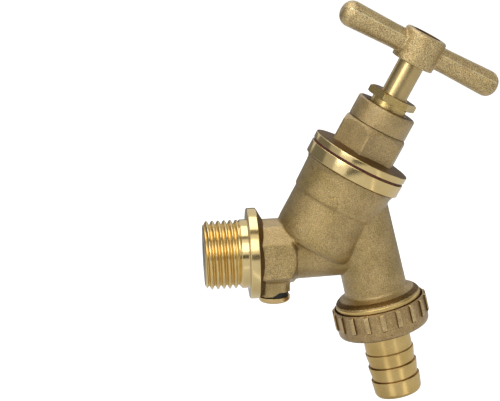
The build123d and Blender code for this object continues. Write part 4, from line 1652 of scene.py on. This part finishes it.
# %% Studio: world and floor
ROOM_COLOUR = (0.9, 0.92, 0.95, 1)
ROOM_GLOW = 0.5
WHITE = (1, 1, 1, 1)
FLOOR_SIZE = 6
FLOOR_DROP = 0.012
FLOOR_COLOUR = (0.9, 0.9, 0.9, 1)
FLOOR_GLOW = 0.6

world = bpy.data.worlds.new("studio")
bpy.context.scene.world = world
world.use_nodes = True
world_tree = world.node_tree
world_tree.nodes.clear()
lit = add_node(world_tree, "Background", {"Color": ROOM_COLOUR, "Strength": ROOM_GLOW})
seen = add_node(world_tree, "Background", {"Color": WHITE, "Strength": 1})
rays = add_node(world_tree, "LightPath").outputs
looked_at = math_node(world_tree, "MAXIMUM", rays["Is Camera Ray"], rays["Is Glossy Ray"])
looked_at = math_node(world_tree, "MAXIMUM", looked_at, rays["Is Transmission Ray"])
choose = add_node(world_tree, "MixShader", {
    "Fac": looked_at, 1: lit.outputs["Background"], 2: seen.outputs["Background"]})
add_node(world_tree, "OutputWorld", {"Surface": choose.outputs["Shader"]})

floor_height = cad_box[0].z - FLOOR_DROP
bpy.ops.object.select_all(action="DESELECT")
bpy.ops.mesh.primitive_plane_add(size=FLOOR_SIZE, location=(0, 0, floor_height))
floor = bpy.context.object
floor.name = "studio_floor"
floor_material, floor_tree, floor_shader = new_material("floor_white")
floor_shader.inputs["Base Color"].default_value = FLOOR_COLOUR
floor_shader.inputs["Roughness"].default_value = 0.9
floor_shader.inputs["Specular IOR Level"].default_value = 0.1
floor_shader.inputs["Emission Color"].default_value = WHITE
floor_rays = add_node(floor_tree, "LightPath").outputs
floor_glow = math_node(floor_tree, "MULTIPLY", floor_rays["Is Camera Ray"], FLOOR_GLOW)
floor_tree.links.new(floor_glow, floor_shader.inputs["Emission Strength"])
floor.data.materials.append(floor_material)
print("floor at", round(floor_height, 4))

# %% [markdown]
# Brass shows its surroundings more than its own colour. A studio lights it with large soft boxes,
# and stands dark cards beside it so that the bright bands on the turned parts have dark ones next
# to them. Lamps and cards are placed by an azimuth, an elevation and a distance, because that is
# how a photographer walks round the table. The cards here show only in reflections, so they never
# stand in front of the tap.

# %% Studio: helpers
TAP_MIDDLE = Vector((0.02, 0, 0.02))
STRIP_START = 0.17
STRIP_LIFT = 0.001
STRIP_WIDTH = 0.012
STRIP_LENGTH = 0.3


def from_tap(direction, distance):
    """A place at an azimuth and an elevation, in degrees, seen from the middle of the tap."""
    azimuth, elevation = (radians(angle) for angle in direction)
    return distance * towards(azimuth, elevation)


def soft_box(name, direction, distance, size, glow):
    """A square lamp that faces the tap. Its glow is what a mirror would show of it."""
    lamp_data = bpy.data.lights.new(name, "AREA")
    lamp_data.shape = "SQUARE"
    lamp_data.size = size
    lamp_data.energy = glow * pi * size**2
    lamp = bpy.data.objects.new(name, lamp_data)
    bpy.context.scene.collection.objects.link(lamp)
    place = from_tap(direction, distance)
    lamp.location = TAP_MIDDLE + place
    lamp.rotation_euler = place.to_track_quat("Z", "Y").to_euler()


def stage_card(name, place, turn, width, height, tone):
    """A card of an even grey that shows only in reflections."""
    bpy.ops.object.select_all(action="DESELECT")
    bpy.ops.mesh.primitive_plane_add(size=1, location=place, rotation=turn)
    card = bpy.context.object
    card.name = name
    card.scale = (width, height, 1)
    card_material, _, shader = new_material(name)
    shader.inputs["Base Color"].default_value = (0, 0, 0, 1)
    shader.inputs["Specular IOR Level"].default_value = 0
    shader.inputs["Emission Color"].default_value = (tone, tone, tone, 1)
    shader.inputs["Emission Strength"].default_value = 1
    card.data.materials.append(card_material)
    card.visible_camera = False
    card.visible_diffuse = False
    card.visible_transmission = False
    card.visible_shadow = False


def tone_card(name, direction, distance, width, height, tone):
    """A card that stands round the tap and faces it."""
    place = from_tap(direction, distance)
    turn = place.to_track_quat("Z", "Y").to_euler()
    stage_card(name, TAP_MIDDLE + place, turn, width, height, tone)


def floor_strip(name, azimuth, tone):
    """A thin card on the floor that runs out from the foot of the tail."""
    foot = outlet_axis @ Vector((0, 0, TAIL_END * MM))
    place = foot + from_tap((azimuth, 0), STRIP_START)
    place.z = floor_height + STRIP_LIFT
    stage_card(name, place, (0, 0, radians(azimuth)), STRIP_WIDTH, STRIP_LENGTH, tone)


print("a strip starts", STRIP_START, "m from the tail")

# %% [markdown]
# The key box stands to the left and makes the broad highlights. The front and top boxes fill. The
# cards darken what a mirror would see in front, above, at the sides and behind the tap. Two thin
# strips on the floor in front of the hose tail draw the two upright streaks that it shows.

# %% Studio: lamps and cards
soft_box("key_box", (-36, 30), 1.1, 0.42, 3.1)
soft_box("front_box", (-2, 34), 1.1, 0.55, 1.6)
soft_box("top_box", (0, 97), 1.0, 0.78, 1.4)
tone_card("card_front", (8, 2), 1.2, 1.5, 0.34, 0.1)
tone_card("card_gap", (0, 69), 1.0, 1.2, 0.24, 0.2)
tone_card("card_left", (-112, 15), 0.9, 0.9, 1.0, 0.2)
tone_card("card_side", (-70, 15), 0.9, 0.48, 1.0, 0.5)
tone_card("card_right", (80, 20), 0.9, 0.7, 1.0, 0.5)
tone_card("card_low", (180, -5), 0.25, 1.2, 0.11, 0.22)
tone_card("card_back", (180, 5), 0.5, 1.5, 0.12, 0.15)
tone_card("card_above", (180, 35), 0.9, 1.6, 0.88, 0.75)
tone_card("card_handle", (112, 52), 0.8, 0.8, 0.45, 0.12)
floor_strip("strip_left", -28, 1.1)
floor_strip("strip_right", 31, 1.4)
print("lamps and cards are set")

# %% [markdown]
# The last cell sets the plain view transform.

# %% View transform
bpy.context.scene.view_settings.view_transform = "Standard"
